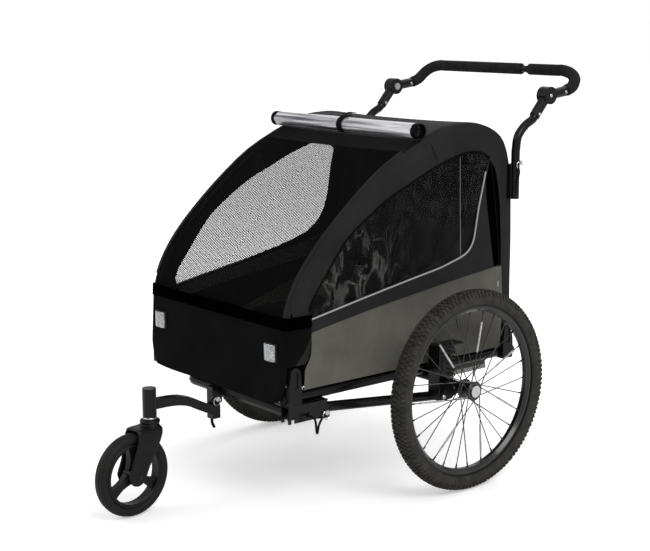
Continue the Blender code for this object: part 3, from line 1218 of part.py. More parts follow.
flank = curve_through([(CASTER_SPOKE_WIDE / 2, high_r),
                       (CASTER_SPOKE_WAIST / 2, 0.4 * low_r + 0.6 * high_r),
                       (CASTER_SPOKE_WAIST / 2, low_r)], 3)
spoke_line = [*flank, *[(-y, z) for y, z in reversed(flank)]]
arms = []
for k in range(CASTER_SPOKES):
    arm = slab(f"caster_spoke_{k}", spoke_line, "x", -CASTER_SPOKE_THICK / 2, CASTER_SPOKE_THICK / 2,
               None, caster)
    arm.data.transform(Matrix.Rotation(2 * math.pi * k / CASTER_SPOKES, 4, "X"))
    arms.append(arm)
join(rim, hub, *arms)
turned("caster_tyre",
       [(CASTER_TREAD_INNER, -CASTER_HALF + 0.002), (CASTER_TREAD_INNER, CASTER_HALF - 0.002),
        (CASTER_TREAD_INNER + 0.008, CASTER_HALF), (CASTER_RADIUS - 0.006, 0.84 * CASTER_HALF),
        (CASTER_RADIUS, 0.25 * CASTER_HALF), (CASTER_RADIUS, -0.25 * CASTER_HALF),
        (CASTER_RADIUS - 0.006, -0.84 * CASTER_HALF), (CASTER_TREAD_INNER + 0.008, -CASTER_HALF)],
       "x", RUBBER, caster, segments=CASTER_STEPS, closed=True)

# Tow arm with its knuckle, pin and hitch coupler
tow = empty("tow_hinge", (TOW_X, TOW_PIVOT_Y, TOW_PIVOT_Z), root, turn=(-TOW_DROOP, 0, 0))
knuckle = KNUCKLE_WIDE / 2
nose = arc((0, 0), KNUCKLE_NOSE, 90, 180 + math.degrees(math.asin(KNUCKLE_LOW / KNUCKLE_NOSE)), 8)
tow_arm = slab("tow_arm", [(KNUCKLE_BACK, -KNUCKLE_LOW), (KNUCKLE_BACK, KNUCKLE_NOSE), *nose],
               "x", -knuckle, knuckle, BLACK_STEEL, tow)
neck_end = TOW_LENGTH + 0.5 * COUPLER_LONG
join(tow_arm,
     cylinder("tow_tube", TOW_RADIUS, (0, TOW_TUBE_START, TOW_OFFSET), (0, TOW_LENGTH, TOW_OFFSET),
              None, tow, segments=18),
     cylinder("tow_neck", 0.5 * TOW_RADIUS, (0, TOW_LENGTH - 0.002, TOW_OFFSET),
              (0, neck_end, TOW_OFFSET), None, tow, segments=14))
cut(tow_arm,
    cylinder("pivot_hole", PIVOT_BOLT_RADIUS + RUN, (-0.03, 0, 0), (0.03, 0, 0), None, tow,
             segments=14),
    cylinder("tow_pin_hole", PIN_RADIUS + GAP, (-0.03, TOW_PIN_REACH, TOW_PIN_RISE),
             (0.03, TOW_PIN_REACH, TOW_PIN_RISE), None, tow, segments=12))
slide = empty("tow_pin_slide", (0, TOW_PIN_REACH, TOW_PIN_RISE), tow)
quick_pin("tow_pin", 1.0, -cheek_out, cheek_out + RUN, slide)
coupler = empty("coupler_swivel", (0, TOW_LENGTH, TOW_OFFSET), tow)
bore = 0.5 * TOW_RADIUS + RUN
coupler_piece = turned(
    "hitch_coupler",
    [(0, COUPLER_LONG), (0.55 * COUPLER_RADIUS, COUPLER_LONG - 0.001),
     (0.9 * COUPLER_RADIUS, COUPLER_LONG - 0.006), (COUPLER_RADIUS, COUPLER_LONG - 0.014),
     (COUPLER_RADIUS, RUN + 0.002), (COUPLER_RADIUS - 0.002, RUN), (bore, RUN),
     (bore, 0.5 * COUPLER_LONG + RUN), (0, 0.5 * COUPLER_LONG + RUN)],
    "z", BLACK_PLASTIC, coupler, segments=16)
coupler_piece.data.transform(Matrix.Rotation(math.radians(-90), 4, "X"))

# Leash of the tow pin: from the pivot bolt's head down and back up to the ring
loop_x = TOW_X + cheek_out + PIVOT_BOLT_RADIUS + GAP
ring_y = TOW_PIN_REACH - RING_RADIUS - RING_WIRE - GAP
ring_x = TOW_X + cheek_out + RUN + PIN_HEAD / 2
tow_leash = curve_through(
    [(loop_x, -0.004, 0.0), (loop_x + 0.5 * LEASH_DROP, -0.004, -0.1 * LEASH_DROP),
     (loop_x + 0.55 * LEASH_DROP, 0.0, -0.5 * LEASH_DROP),
     (loop_x + 0.40 * LEASH_DROP, 0.22 * ring_y, -0.9 * LEASH_DROP),
     (0.5 * (loop_x + ring_x) + 0.25 * LEASH_DROP, 0.45 * ring_y, -LEASH_DROP),
     (ring_x, 0.75 * ring_y, -0.62 * LEASH_DROP), (ring_x, ring_y, -0.18 * LEASH_DROP)], 3)
tube_curve("leash_tow", [(x - TOW_X, y, z) for x, y, z in tow_leash], LEASH_RADIUS, CLOTH_BLACK, tow)

# Loose strap under the jogger arm's block
strap_top = BLOCK_LOW_Z - GAP
jogger_leash = curve_through(
    [(0.0, socket_y - 0.006, strap_top), (0.0, socket_y - 0.0055, strap_top - 0.4 * TAIL_LONG),
     (0.0, socket_y - 0.003, strap_top - 0.7 * TAIL_LONG), (0.0, socket_y + 0.001, strap_top - TAIL_LONG)],
    2)
tube_curve("leash_jogger", jogger_leash, TAIL_RADIUS, CLOTH_BLACK, root)
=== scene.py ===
# %% [markdown]
# # A child bike trailer, dressed for a product photograph
#
# The trailer comes here as a imported model of plain solids that already fold, spring, steer and roll.
# This lesson puts the real surfaces on it: woven cloth, clear film, knobbly rubber, glossy tubes.
# Most new pieces ride on one of the model's bodies, so they follow the joints by themselves.

# %% Load the imported trailer
import math

import bpy
import numpy as np
from mathutils import Matrix, Vector


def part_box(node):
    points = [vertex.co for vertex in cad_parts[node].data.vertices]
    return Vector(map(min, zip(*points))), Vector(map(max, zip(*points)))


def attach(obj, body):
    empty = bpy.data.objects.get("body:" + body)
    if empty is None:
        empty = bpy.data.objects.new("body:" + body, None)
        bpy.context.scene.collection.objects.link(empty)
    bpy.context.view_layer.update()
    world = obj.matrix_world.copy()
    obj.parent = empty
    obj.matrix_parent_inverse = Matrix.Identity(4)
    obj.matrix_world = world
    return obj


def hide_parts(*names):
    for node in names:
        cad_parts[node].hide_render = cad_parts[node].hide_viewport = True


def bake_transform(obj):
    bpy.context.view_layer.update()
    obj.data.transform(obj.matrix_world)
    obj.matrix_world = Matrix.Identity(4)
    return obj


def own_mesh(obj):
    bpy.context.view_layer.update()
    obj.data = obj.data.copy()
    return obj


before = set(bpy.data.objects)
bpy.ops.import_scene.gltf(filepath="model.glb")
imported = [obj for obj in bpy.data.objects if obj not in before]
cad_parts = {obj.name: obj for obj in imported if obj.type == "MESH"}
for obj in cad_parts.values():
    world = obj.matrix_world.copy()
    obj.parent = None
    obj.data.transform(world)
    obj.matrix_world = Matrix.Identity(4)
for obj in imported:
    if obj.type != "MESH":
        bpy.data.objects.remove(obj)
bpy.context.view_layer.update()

tyre_low, tyre_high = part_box("tyre_left")
AXLE_Y = (tyre_low[1] + tyre_high[1]) / 2

# %% [markdown]
# ## The camera
#
# A photograph fixes a camera in seven numbers: where it stands, where it looks and how long its
# lens is. They were solved from the wheel, the tubes and the posts of the photograph, whose sizes
# are known. Lengths along the trailer are counted from the rear axle, as on a workshop drawing,
# so one small function moves them into the model's frame.

# %% Set the camera where the photographer stood
PHOTO_WIDE = 650
LENS_PIXELS = 1389.97        # focal length, in pixels of the photograph
CAMERA_FROM_AXLE = (2.6794, -2.3655, 1.1658)
LOOK_AZIMUTH = math.radians(50.37)
LOOK_DOWN = math.radians(10.87)
LOOK_ROLL = math.radians(-0.142)


def spot(x, y, z):
    """A point given from the rear axle, in the model's frame."""
    return Vector((x, y + AXLE_Y, z))


bpy.ops.object.select_all(action="DESELECT")
bpy.ops.object.camera_add(location=spot(*CAMERA_FROM_AXLE))
camera = bpy.context.object
camera.name = "photo_camera"
camera.data.sensor_width = 36.0
camera.data.lens = camera.data.sensor_width * LENS_PIXELS / PHOTO_WIDE
ahead = Vector((-math.sin(LOOK_AZIMUTH) * math.cos(LOOK_DOWN),
                math.cos(LOOK_AZIMUTH) * math.cos(LOOK_DOWN), -math.sin(LOOK_DOWN)))
sideways = Vector((math.cos(LOOK_AZIMUTH), math.sin(LOOK_AZIMUTH), 0))
upwards = sideways.cross(ahead)
turned = Matrix((sideways, upwards, -ahead)).transposed()
camera.matrix_world = Matrix.Translation(camera.location) @ (
    turned @ Matrix.Rotation(LOOK_ROLL, 3, "Z")).to_4x4()
bpy.context.scene.camera = camera
print("lens", round(camera.data.lens, 1), "mm, camera at", [round(c, 3) for c in camera.location])

# %% [markdown]
# ## Floor and light
#
# The product stands on a white sweep under large soft lamps. The floor is a big pale sheet. It is
# lit like everything else, so it holds the soft shadow, and where only the camera sees it a little
# glow lifts it to white. The lamps are broad, because black gloss shows a lamp's own shape, and
# broad lamps give the long streaks seen along the tubes.

# %% Colours, nodes and the white stage
def colour(code):
    """A hex colour as shown on a screen, turned to the linear values that shaders use."""
    parts = [int(code[k:k + 2], 16) / 255 for k in (1, 3, 5)]
    return tuple(p / 12.92 if p <= 0.04045 else ((p + 0.055) / 1.055) ** 2.4 for p in parts) + (1.0,)


def add(tree, kind, sockets=None, **settings):
    """Adds one shader node, sets it up and links or fills its sockets."""
    node = tree.nodes.new("ShaderNode" + kind)
    for key, value in settings.items():
        setattr(node, key, value)
    for key, value in (sockets or {}).items():
        if isinstance(value, bpy.types.NodeSocket):
            tree.links.new(value, node.inputs[key])
        else:
            node.inputs[key].default_value = value
    return node


def reckoned(tree, operation, *values):
    """The result of one sum on numbers or on other nodes' results."""
    return add(tree, "Math", dict(enumerate(values)), operation=operation).outputs[0]


WHITE = "#ffffff"
scene = bpy.context.scene
scene.view_settings.view_transform = "Standard"
world = bpy.data.worlds.new("white_room")
world.use_nodes = True
scene.world = world
sky = world.node_tree
sky.nodes.clear()
ROOM_LIGHT = 0.62
seen = add(sky, "LightPath")
straight = reckoned(sky, "MAXIMUM", seen.outputs["Is Camera Ray"], seen.outputs["Is Transmission Ray"])
level = add(sky, "MapRange", {"Value": straight, "To Min": ROOM_LIGHT, "To Max": 1.0})
glow = add(sky, "Background", {"Color": colour(WHITE), "Strength": level.outputs[0]})
add(sky, "OutputWorld", {"Surface": glow.outputs[0]})

bpy.ops.mesh.primitive_grid_add(x_subdivisions=24, y_subdivisions=24, size=40, location=(0, 0, 0))
floor_sheet = bpy.context.object
floor_sheet.name = "white_sweep"
sweep = bpy.data.materials.new("white_paper_sweep")
sweep.use_nodes = True
paper = sweep.node_tree
paper.nodes.clear()
lit = add(paper, "BsdfDiffuse", {"Color": colour("#f4f4f4")})
floor_at = add(paper, "TexCoord")
floor_far = add(paper, "VectorMath", {0: floor_at.outputs["Object"]}, operation="LENGTH")
floor_glow = add(paper, "MapRange", {"Value": floor_far.outputs["Value"], "From Min": 0.9,
                                     "From Max": 3.0, "To Min": 0.40, "To Max": 0.62})
lift = add(paper, "Emission", {"Color": colour(WHITE), "Strength": floor_glow.outputs[0]})
path = add(paper, "LightPath")
lift_seen = add(paper, "MixShader", {0: path.outputs["Is Camera Ray"], 2: lift.outputs[0]})
both = add(paper, "AddShader", {0: lit.outputs[0], 1: lift_seen.outputs[0]})
add(paper, "OutputMaterial", {"Surface": both.outputs[0]})
floor_sheet.data.materials.append(sweep)

for lamp_name, place, target, wide, tall, watts in (
        ("key_lamp", (3.2, -0.6, 3.4), (0, 0, 0.5), 2.6, 1.6, 70),
        ("fill_lamp", (-1.8, -3.4, 2.6), (0, 0, 0.4), 2.4, 1.6, 34),
        ("rim_lamp", (-1.2, 3.2, 2.8), (0, 0.2, 0.6), 2.4, 1.2, 44)):
    bpy.ops.object.light_add(type="AREA", location=place)
    lamp = bpy.context.object
    lamp.name = lamp_name
    lamp.data.shape = "RECTANGLE"
    lamp.data.size, lamp.data.size_y, lamp.data.energy = wide, tall, watts
    lamp.rotation_euler = (Vector(target) - Vector(place)).to_track_quat("-Z", "Y").to_euler()
print("stage ready")

# %% [markdown]
# ## Finishes
#
# Each finish starts from what the real one is: its colour in daylight, how smooth it is, and what
# its surface does at the scale of a thread, a grain or a scratch. `surface` makes the shader, and
# the small functions after it hang the patterns on it.
#
# ### Woven polyester
#
# The cabin is sewn from polyester woven in two directions and coated inside. Threads are about
# half a millimetre apart, too fine for a picture of the whole trailer, so they are drawn at twice
# that. What the eye sees from a step away is the faint unevenness where the cloth is pulled.

# %% A shader to start from, and woven cloth
def surface(name, base, roughness, metallic=0.0, **more):
    """A named finish: returns the material, its node tree and its shader."""
    made = bpy.data.materials.new(name)
    made.use_nodes = True
    tree = made.node_tree
    shader = tree.nodes["Principled BSDF"]
    shader.inputs["Base Color"].default_value = colour(base)
    shader.inputs["Roughness"].default_value = roughness
    shader.inputs["Metallic"].default_value = metallic
    for key, value in more.items():
        shader.inputs[key.replace("_", " ")].default_value = value
    return made, tree, shader


def shade_between(ramp, *stops):
    """Sets the two stops of a colour ramp: each is (place, colour)."""
    for stop, (place, code) in zip(ramp.color_ramp.elements, stops):
        stop.position, stop.color = place, colour(code)


def noise(tree, size, detail, roughness=0.5):
    """Noise over a piece's own place, in patches of a size in metres."""
    place = add(tree, "TexCoord")
    return add(tree, "TexNoise", {"Vector": place.outputs["Object"], "Scale": 1.0 / size,
                                  "Detail": detail, "Roughness": roughness}).outputs["Fac"]


def drawn_noise(tree, scale, **more):
    """Noise over a piece's own place, drawn out along some of its axes."""
    place = add(tree, "TexCoord")
    drawn = add(tree, "Mapping", {"Vector": place.outputs["Object"], "Scale": scale})
    return add(tree, "TexNoise", {"Vector": drawn.outputs[0], "Scale": 1.0, **more}).outputs["Fac"]


def mottle(tree, shader, dark, light, size):
    """Slow drift between two close colours, in patches of a size in metres."""
    ramp = add(tree, "ValToRGB", {"Fac": noise(tree, size, 4.0, 0.6)})
    shade_between(ramp, (0.35, dark), (0.65, light))
    tree.links.new(ramp.outputs["Color"], shader.inputs["Base Color"])


def raised(tree, shader, height, depth, strength, **more):
    """Gives a shader a bump from a height."""
    bump = add(tree, "Bump", {"Height": height, "Distance": depth, "Strength": strength, **more})
    tree.links.new(bump.outputs["Normal"], shader.inputs["Normal"])
    return bump.outputs["Normal"]


def weave_bump(tree, shader, thread, depth, soft):
    """Threads over and under, both ways of the cloth's own map in metres, on a softer unevenness."""
    place = add(tree, "TexCoord")
    cut_up = add(tree, "SeparateXYZ", {0: place.outputs["UV"]})
    waves = [reckoned(tree, "SINE", reckoned(tree, "MULTIPLY", cut_up.outputs[axis], math.pi / thread))
             for axis in ("X", "Y")]
    raised(tree, shader, reckoned(tree, "MULTIPLY", *waves), depth, 0.7, Normal=soft)


def soft_bump(tree, shader, size, depth, strength):
    """Shallow unevenness in patches of a size in metres."""
    return raised(tree, shader, noise(tree, size, 2.0), depth, strength)


def cloth(name, dark, light, roughness=0.85, thread=0.0011, sheen=0.0, gloss=0.12, uneven=0.25):
    """Woven polyester in one colour; gloss is how much of its light bounces off unchanged."""
    made, tree, shader = surface(name, light, roughness, Sheen_Weight=sheen, Sheen_Roughness=0.45)
    shader.inputs["Specular IOR Level"].default_value = gloss
    mottle(tree, shader, dark, light, 0.16)
    weave_bump(tree, shader, thread, 0.0004, soft_bump(tree, shader, 0.09, 0.004, uneven))
    return made


black_cloth = cloth("black_woven_polyester", "#191919", "#232323", sheen=0.03, gloss=0.2)
# A darker, duller copy of the black cloth for the front apron, the linings and the floor: painted shade where
# these stand out of the light.
shaded_black_cloth = cloth("black_cloth_painted_shade", "#0a0a0a", "#101010", gloss=0.04)
seat_cloth = cloth("charcoal_seat_polyester", "#101010", "#181818", gloss=0.06, thread=0.0016, uneven=0.5)
grey_cloth = cloth("grey_woven_polyester", "#504f4a", "#64635c", roughness=0.7, gloss=0.3)
# Near black: the band's own black, darkened further as painted shade; the shade strip at the window's rear uses
# it too.
elastic_and_painted_shade = cloth("black_elastic_band_and_painted_shade", "#010101", "#030303", thread=0.0016, gloss=0.0)
binding = cloth("black_net_binding", "#101010", "#181818", gloss=0.06)
inner_cloth = cloth("coated_inner_cloth", "#4a4a48", "#585856", roughness=0.75)
webbing = cloth("black_harness_webbing", "#060606", "#0b0b0b", thread=0.0022, gloss=0.10)
pale_webbing = cloth("pale_grey_webbing", "#9c9c99", "#b4b4b0", thread=0.0014)

# %% [markdown]
# ### Clear film, net and reflective piping
#
# The side windows are soft vinyl film: clear, glossy and never quite flat. Its pale streaks along the
# folds, and a paler patch low at the window's front, are painted reflections: the film is drawn less
# clear there. The front opening is covered by an insect net, whose holes let about a third of the light
# through. The holes are drawn about three times as far apart as the real ones, so that their pattern
# shows in a render. The piping is glass-beaded tape: grey by day, brighter where a lamp stands behind the
# viewer.

# %% Film, net and piping
clear_film, film_tree, film_shader = surface("clear_vinyl_film", "#b9b9b6", 0.25)
film_shader.inputs["Specular IOR Level"].default_value = 0.5
film_place = add(film_tree, "TexCoord").outputs["Object"]
film_folds = drawn_noise(film_tree, (9.0, 20.0, 10.0), Detail=3.0, Roughness=0.5, Distortion=1.4)
# Painted reflection: the pale film is drawn less clear along the folds' crests and in one patch low at the
# window's front.
either_way = reckoned(film_tree, "ABSOLUTE", reckoned(film_tree, "SUBTRACT", film_folds, 0.5))
crease_painted_shine = add(film_tree, "MapRange", {"Value": either_way, "From Min": 0.0, "From Max": 0.055,
                                     "To Min": 1.0, "To Max": 0.0}).outputs[0]
CLOTH_X = 0.2738             # middle of the side cloth's wall, from the trailer's middle
PAINTED_SHINE_CENTRE = (CLOTH_X, -0.275 + AXLE_Y, 0.55)     # middle of a patch of painted reflection, low in the window's front
shine_offset = add(film_tree, "VectorMath", {0: film_place, 1: PAINTED_SHINE_CENTRE}, operation="SUBTRACT")
shine_scaled = add(film_tree, "VectorMath", {0: shine_offset.outputs[0], 1: (7.0, 7.5, 9.0)},
                   operation="MULTIPLY")
shine_distance = add(film_tree, "VectorMath", {0: shine_scaled.outputs[0]}, operation="LENGTH")
painted_shine_patch = add(film_tree, "MapRange", {"Value": shine_distance.outputs["Value"], "From Min": 0.25,
                                       "From Max": 1.2, "To Min": 0.085, "To Max": 0.012}).outputs[0]
painted_shine_opacity = reckoned(film_tree, "ADD", reckoned(film_tree, "MULTIPLY", crease_painted_shine, painted_shine_patch), 0.005)
film_tree.links.new(painted_shine_opacity, film_shader.inputs["Alpha"])
raised(film_tree, film_shader, film_folds, 0.006, 0.6)

rolled_film, roll_tree, roll_shader = surface("rolled_vinyl_film", "#c9c7c9", 0.2, 0.55)
roll_shader.inputs["Coat Weight"].default_value = 0.6
roll_streak = drawn_noise(roll_tree, (2.2, 85.0, 85.0), Detail=5.0, Roughness=0.6)
roll_tone = add(roll_tree, "ValToRGB", {"Fac": roll_streak})
shade_between(roll_tone, (0.36, "#55525a"), (0.56, "#fbf9fc"))
roll_tree.links.new(roll_tone.outputs["Color"], roll_shader.inputs["Base Color"])
raised(roll_tree, roll_shader, roll_streak, 0.002, 0.5)

net_cloth, net_tree, net_shader = surface("black_insect_net", "#080808", 0.9)
net_shader.inputs["Specular IOR Level"].default_value = 0.05
net_place = add(net_tree, "TexCoord")
NET_PITCH = 0.0042        # from hole to hole; the real net's is about a third of this
NET_HOLE = 0.305          # half a hole, in pitches
net_turn = add(net_tree, "Mapping", {"Vector": net_place.outputs["UV"],
                                     "Rotation": (0, 0, math.radians(32)),
                                     "Scale": (1 / NET_PITCH, 0.62 / NET_PITCH, 1)})
net_cells = add(net_tree, "TexVoronoi", {"Vector": net_turn.outputs[0], "Scale": 1.0,
                                         "Randomness": 0.12}, voronoi_dimensions="2D")
net_thread = reckoned(net_tree, "GREATER_THAN", net_cells.outputs["Distance"], NET_HOLE)
net_tree.links.new(net_thread, net_shader.inputs["Alpha"])

piping_tape, piping_tree, piping_shader = surface("reflective_piping", "#a9a9a9", 0.42, 0.35)
soft_bump(piping_tree, piping_shader, 0.0012, 0.0003, 0.6)

# %% [markdown]
# ### Hard finishes
#
# The tubes are steel with a glossy black powder coat, whose surface has a faint orange peel. The
# joints, brackets and fork are moulded nylon, satin and finely grained. Pins and bolts are steel
# plated with zinc. Tyres are carbon-black rubber, lighter on the tops of the knobs than on the wall
# and between the knobs, and the grips are closed-cell foam, the dullest black of all.

# %% Powder coat, nylon, zinc, rubber and foam
def grained(name, base, light, roughness, grain, depth, patch=0.05, metallic=0.0, coat=0.0, gloss=0.5):
    """A hard finish: close colours in patches, and a fine grain."""
    made, tree, shader = surface(name, light, roughness, metallic)
    shader.inputs["Coat Weight"].default_value = coat
    shader.inputs["Specular IOR Level"].default_value = gloss
    mottle(tree, shader, base, light, patch)
    soft_bump(tree, shader, grain, depth, 0.35)
    return made


powder_coat = grained("black_powder_coat", "#080808", "#0d0d0d", 0.25, 0.0022, 0.0003, coat=0.03, gloss=0.22)
nylon = grained("black_moulded_nylon", "#0b0b0b", "#111111", 0.38, 0.0011, 0.0003, gloss=0.22)
zinc_plate = grained("zinc_plated_steel", "#b9babb", "#dadbdc", 0.24, 0.0015, 0.0002, metallic=1.0)
tread_rubber = grained("tyre_tread_rubber", "#242422", "#393733", 0.8, 0.0012, 0.0005, patch=0.02, gloss=0.3)
wall_rubber = grained("tyre_wall_rubber", "#0a0a09", "#11110f", 0.6, 0.0016, 0.0003, gloss=0.3)
foam = grained("closed_cell_foam", "#1b1b1b", "#272727", 0.95, 0.0016, 0.0008, patch=0.03, gloss=0.12)
rim_black = grained("black_anodised_rim", "#0d0d0d", "#141414", 0.26, 0.003, 0.0002, coat=0.2)
grey_nylon = grained("grey_moulded_nylon", "#8f8f8e", "#a3a3a1", 0.5, 0.0011, 0.0002)
lens_plastic = grained("moulded_reflector_lens", "#85878a", "#c6c8ca", 0.2, 0.004, 0.0006, patch=0.006,
                       metallic=0.75, coat=0.6)
sleeve_tape = grained("spoke_reflector_sleeve", "#9a9c98", "#cdcfcb", 0.35, 0.0014, 0.0003, patch=0.01,
                      metallic=0.3)
# Near black: zip tape's own black, darkened further as painted shade of the groove round the window's arch.
black_zip_and_painted_shade = grained("black_zip_tape_and_painted_shade", "#020202", "#050505", 0.7, 0.0018, 0.0004, gloss=0.08)
spring_wire = grained("black_spring_wire", "#2b2b2c", "#3a3a3b", 0.28, 0.002, 0.0002, metallic=0.7)
print("finishes", len(bpy.data.materials))

# %% [markdown]
# ## Modelling tools
#
# Everything new is started from one of Blender's own primitives or curves, shaped, and then fixed
# in place: its object sits at the origin and its place is in its mesh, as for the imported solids.
# The next functions hold the steps that come back for every piece.

# %% Selecting, finishing and placing a piece
def alone(*objects):
    """Selects these objects and nothing else; the first one is active."""
    bpy.ops.object.select_all(action="DESELECT")
    for one in objects:
        one.select_set(True)
    bpy.context.view_layer.objects.active = objects[0]
    return objects[0]


def settle(piece):
    """Puts a piece's place, turn and size into its mesh."""
    alone(piece)
    bpy.ops.object.transform_apply(location=True, rotation=True, scale=True)
    return piece


def apply_step(piece, kind, **settings):
    """Adds a modifier and applies it at once."""
    alone(piece)
    step = piece.modifiers.new(kind.lower(), kind)
    for key, value in settings.items():
        setattr(step, key, value)
    bpy.ops.object.modifier_apply(modifier=step.name)
    return piece


def edited(piece, *steps):
    """Runs edit mode steps on everything in a mesh: each is (operator, its settings)."""
    alone(piece)
    bpy.ops.object.mode_set(mode="EDIT")
    for operator, settings in steps:
        bpy.ops.mesh.select_all(action="SELECT")
        getattr(bpy.ops.mesh, operator)(**settings)
    bpy.ops.object.mode_set(mode="OBJECT")
    return piece


MERGED = ("remove_doubles", {"threshold": 0.00002})
OUTWARDS = ("normals_make_consistent", {"inside": False})
TURNED_ROUND = ("flip_normals", {})


def joined(name, pieces):
    """Several pieces made one, with one mesh."""
    alone(*pieces)
    if len(pieces) > 1:
        bpy.ops.object.join()
    whole = bpy.context.object
    whole.name = name
    whole.data.name = name
    return whole


def dressed(piece, name, finish, body=None, instead_of=(), angle=35):
    """Names a piece, gives it a finish, and lets it ride on a body when one is given."""
    piece.name = name
    piece.data.name = name
    piece.data.materials.clear()
    piece.data.materials.append(finish)
    settle(piece)
    bpy.ops.object.shade_smooth_by_angle(angle=math.radians(angle))
    if instead_of:
        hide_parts(*instead_of)
    if body:
        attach(piece, body)
    return piece


# %% Lines, tubes and turned shapes
def curve_through(points, steps):
    """Points on one smooth line through the given ones."""
    pts = [np.array(p, dtype=float) for p in points]
    pts = [2 * pts[0] - pts[1], *pts, 2 * pts[-1] - pts[-2]]
    out = []
    for a, b, c, d in zip(pts, pts[1:], pts[2:], pts[3:]):
        for k in range(steps):
            t = k / steps
            out.append(0.5 * (2 * b + (c - a) * t + (2 * a - 5 * b + 4 * c - d) * t ** 2
                              + (3 * b - a - 3 * c + d) * t ** 3))
    out.append(pts[-2])
    return [tuple(float(v) for v in p) for p in out]


def beside(line, distance):
    """A line of (y, z) points moved sideways, to its left when walking along it."""
    pts = np.array(line)
    along = np.gradient(pts, axis=0)
    along /= np.linalg.norm(along, axis=1)[:, None]
    side = np.stack([-along[:, 1], along[:, 0]], axis=1)
    return [tuple(p) for p in pts + side * distance]


def line_curve(name, points, radius, round_steps=4):
    """A curve along points, as thick as a tube of a radius, its ends capped."""
    data = bpy.data.curves.new(name, "CURVE")
    data.dimensions = "3D"
    strand = data.splines.new("POLY")
    strand.points.add(len(points) - 1)
    for knot, point in zip(strand.points, points):
        knot.co = (*point, 1.0)
    data.bevel_depth = radius
    data.bevel_resolution = round_steps
    data.use_fill_caps = True
    made = bpy.data.objects.new(name, data)
    scene.collection.objects.link(made)
    return made


def tube(name, points, radius, round_steps=4):
    """A round tube along points, as a mesh."""
    alone(line_curve(name, points, radius, round_steps))
    bpy.ops.object.convert(target="MESH")
    return edited(bpy.context.object, MERGED, OUTWARDS)


def spun(name, profile, centre, axis, steps):
    """A turned shape: profile pairs are (radius, distance along the axis) from a centre."""
    centre, way = Vector(centre), Vector(axis).normalized()
    across = Vector(axis).to_track_quat("Z", "Y").to_matrix() @ Vector((1, 0, 0))
    count = len(profile)
    data = bpy.data.meshes.new(name)
    data.from_pydata([tuple(centre + across * r + way * d) for r, d in profile],
                     [(k, (k + 1) % count) for k in range(count)], [])
    made = bpy.data.objects.new(name, data)
    scene.collection.objects.link(made)
    full_turn = {"steps": steps, "angle": 2 * math.pi, "center": centre, "axis": way}
    return edited(made, ("spin", full_turn), MERGED, OUTWARDS)


def mirrored(line, middle=()):
    """A section that is the same on both sides of a wheel, from its half on one side."""
    return [*line, *middle, *[(r, -d) for r, d in reversed(line)]]


def grid_sheet(name, rows, thick):
    """A sheet through rows of points, with a map in metres and a wall of a thickness."""
    tall, wide = len(rows), len(rows[0])
    spots = np.array(rows, dtype=float)
    data = bpy.data.meshes.new(name)
    faces = [(r * wide + c, r * wide + c + 1, (r + 1) * wide + c + 1, (r + 1) * wide + c)
             for r in range(tall - 1) for c in range(wide - 1)]
    data.from_pydata([tuple(p) for p in spots.reshape(-1, 3)], [], faces)
    across = np.concatenate([np.zeros((tall, 1)),
                             np.cumsum(np.linalg.norm(np.diff(spots, axis=1), axis=2), axis=1)], axis=1)
    along = np.concatenate([np.zeros((1, wide)),
                            np.cumsum(np.linalg.norm(np.diff(spots, axis=0), axis=2), axis=0)], axis=0)
    cloth_map = data.uv_layers.new(name="UVMap")
    for loop in data.loops:
        r, c = divmod(loop.vertex_index, wide)
        cloth_map.data[loop.index].uv = (across[r, c], along[r, c])
    made = bpy.data.objects.new(name, data)
    scene.collection.objects.link(made)
    if thick:
        apply_step(made, "SOLIDIFY", thickness=abs(thick), offset=1.0 if thick > 0 else -1.0)
    return made


def cut_from(piece):
    """Hands back a stretched sheet as it is."""
    return piece


def copied(master, matrix):
    """A copy with its own mesh, put somewhere by a matrix."""
    again = master.copy()
    again.data = master.data.copy()
    scene.collection.objects.link(again)
    again.data.transform(matrix)
    return again


def touching(thing, start, way):
    """Where a line from a point first meets a piece or a solid."""
    hit, place, *_ = thing.ray_cast(Vector(start), Vector(way))
    return place if hit else None


def box_of(node_name):
    """The two corners of a plain solid's box."""
    low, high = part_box(node_name)
    return Vector(low), Vector(high)


def drop(piece):
    """Deletes a piece that was only a pattern for others."""
    bpy.data.objects.remove(piece, do_unlink=True)


# %% Screws, straps and boxes with soft edges
def screw_head(place, way, radius, high):
    """A domed head with a socket in it, sitting on a face that points along way."""
    return spun("screw", [(0.0003, 0.45 * high), (0.42 * radius, 0.45 * high), (0.48 * radius, high),
                          (0.80 * radius, 0.92 * high), (radius, 0.5 * high), (radius, -0.0004),
                          (0.0003, -0.0004)], place, way, 18)


def soft_box(low, high, edge, segments=2):
    """A box between two corners whose edges are rounded."""
    low, high = Vector(low), Vector(high)
    bpy.ops.mesh.primitive_cube_add(size=1, location=(low + high) / 2, scale=high - low)
    block = settle(bpy.context.object)
    return apply_step(block, "BEVEL", width=edge, segments=segments)


def strap_along(name, centre_line, across, thick, finish, body):
    """A flat strap: its middle follows points, and across gives its width and way at each."""
    ways = [Vector(w) for w in across]
    rows = [[tuple(Vector(p) + w * t) for t in (-0.5, -0.3, 0.0, 0.3, 0.5)]
            for p, w in zip(centre_line, ways)]
    return dressed(grid_sheet(name, rows, thick), name, finish, body)


# %% [markdown]
# ## The two leashes
#
# The tow pin can't be lost: a thin black cord runs from the pivot bolt's head, hangs in a short
# loop and comes back to the ring of the pin. A stub of webbing hangs under the jogger arm's block.
# Both follow the same points as their plain solids, on one smooth curve.

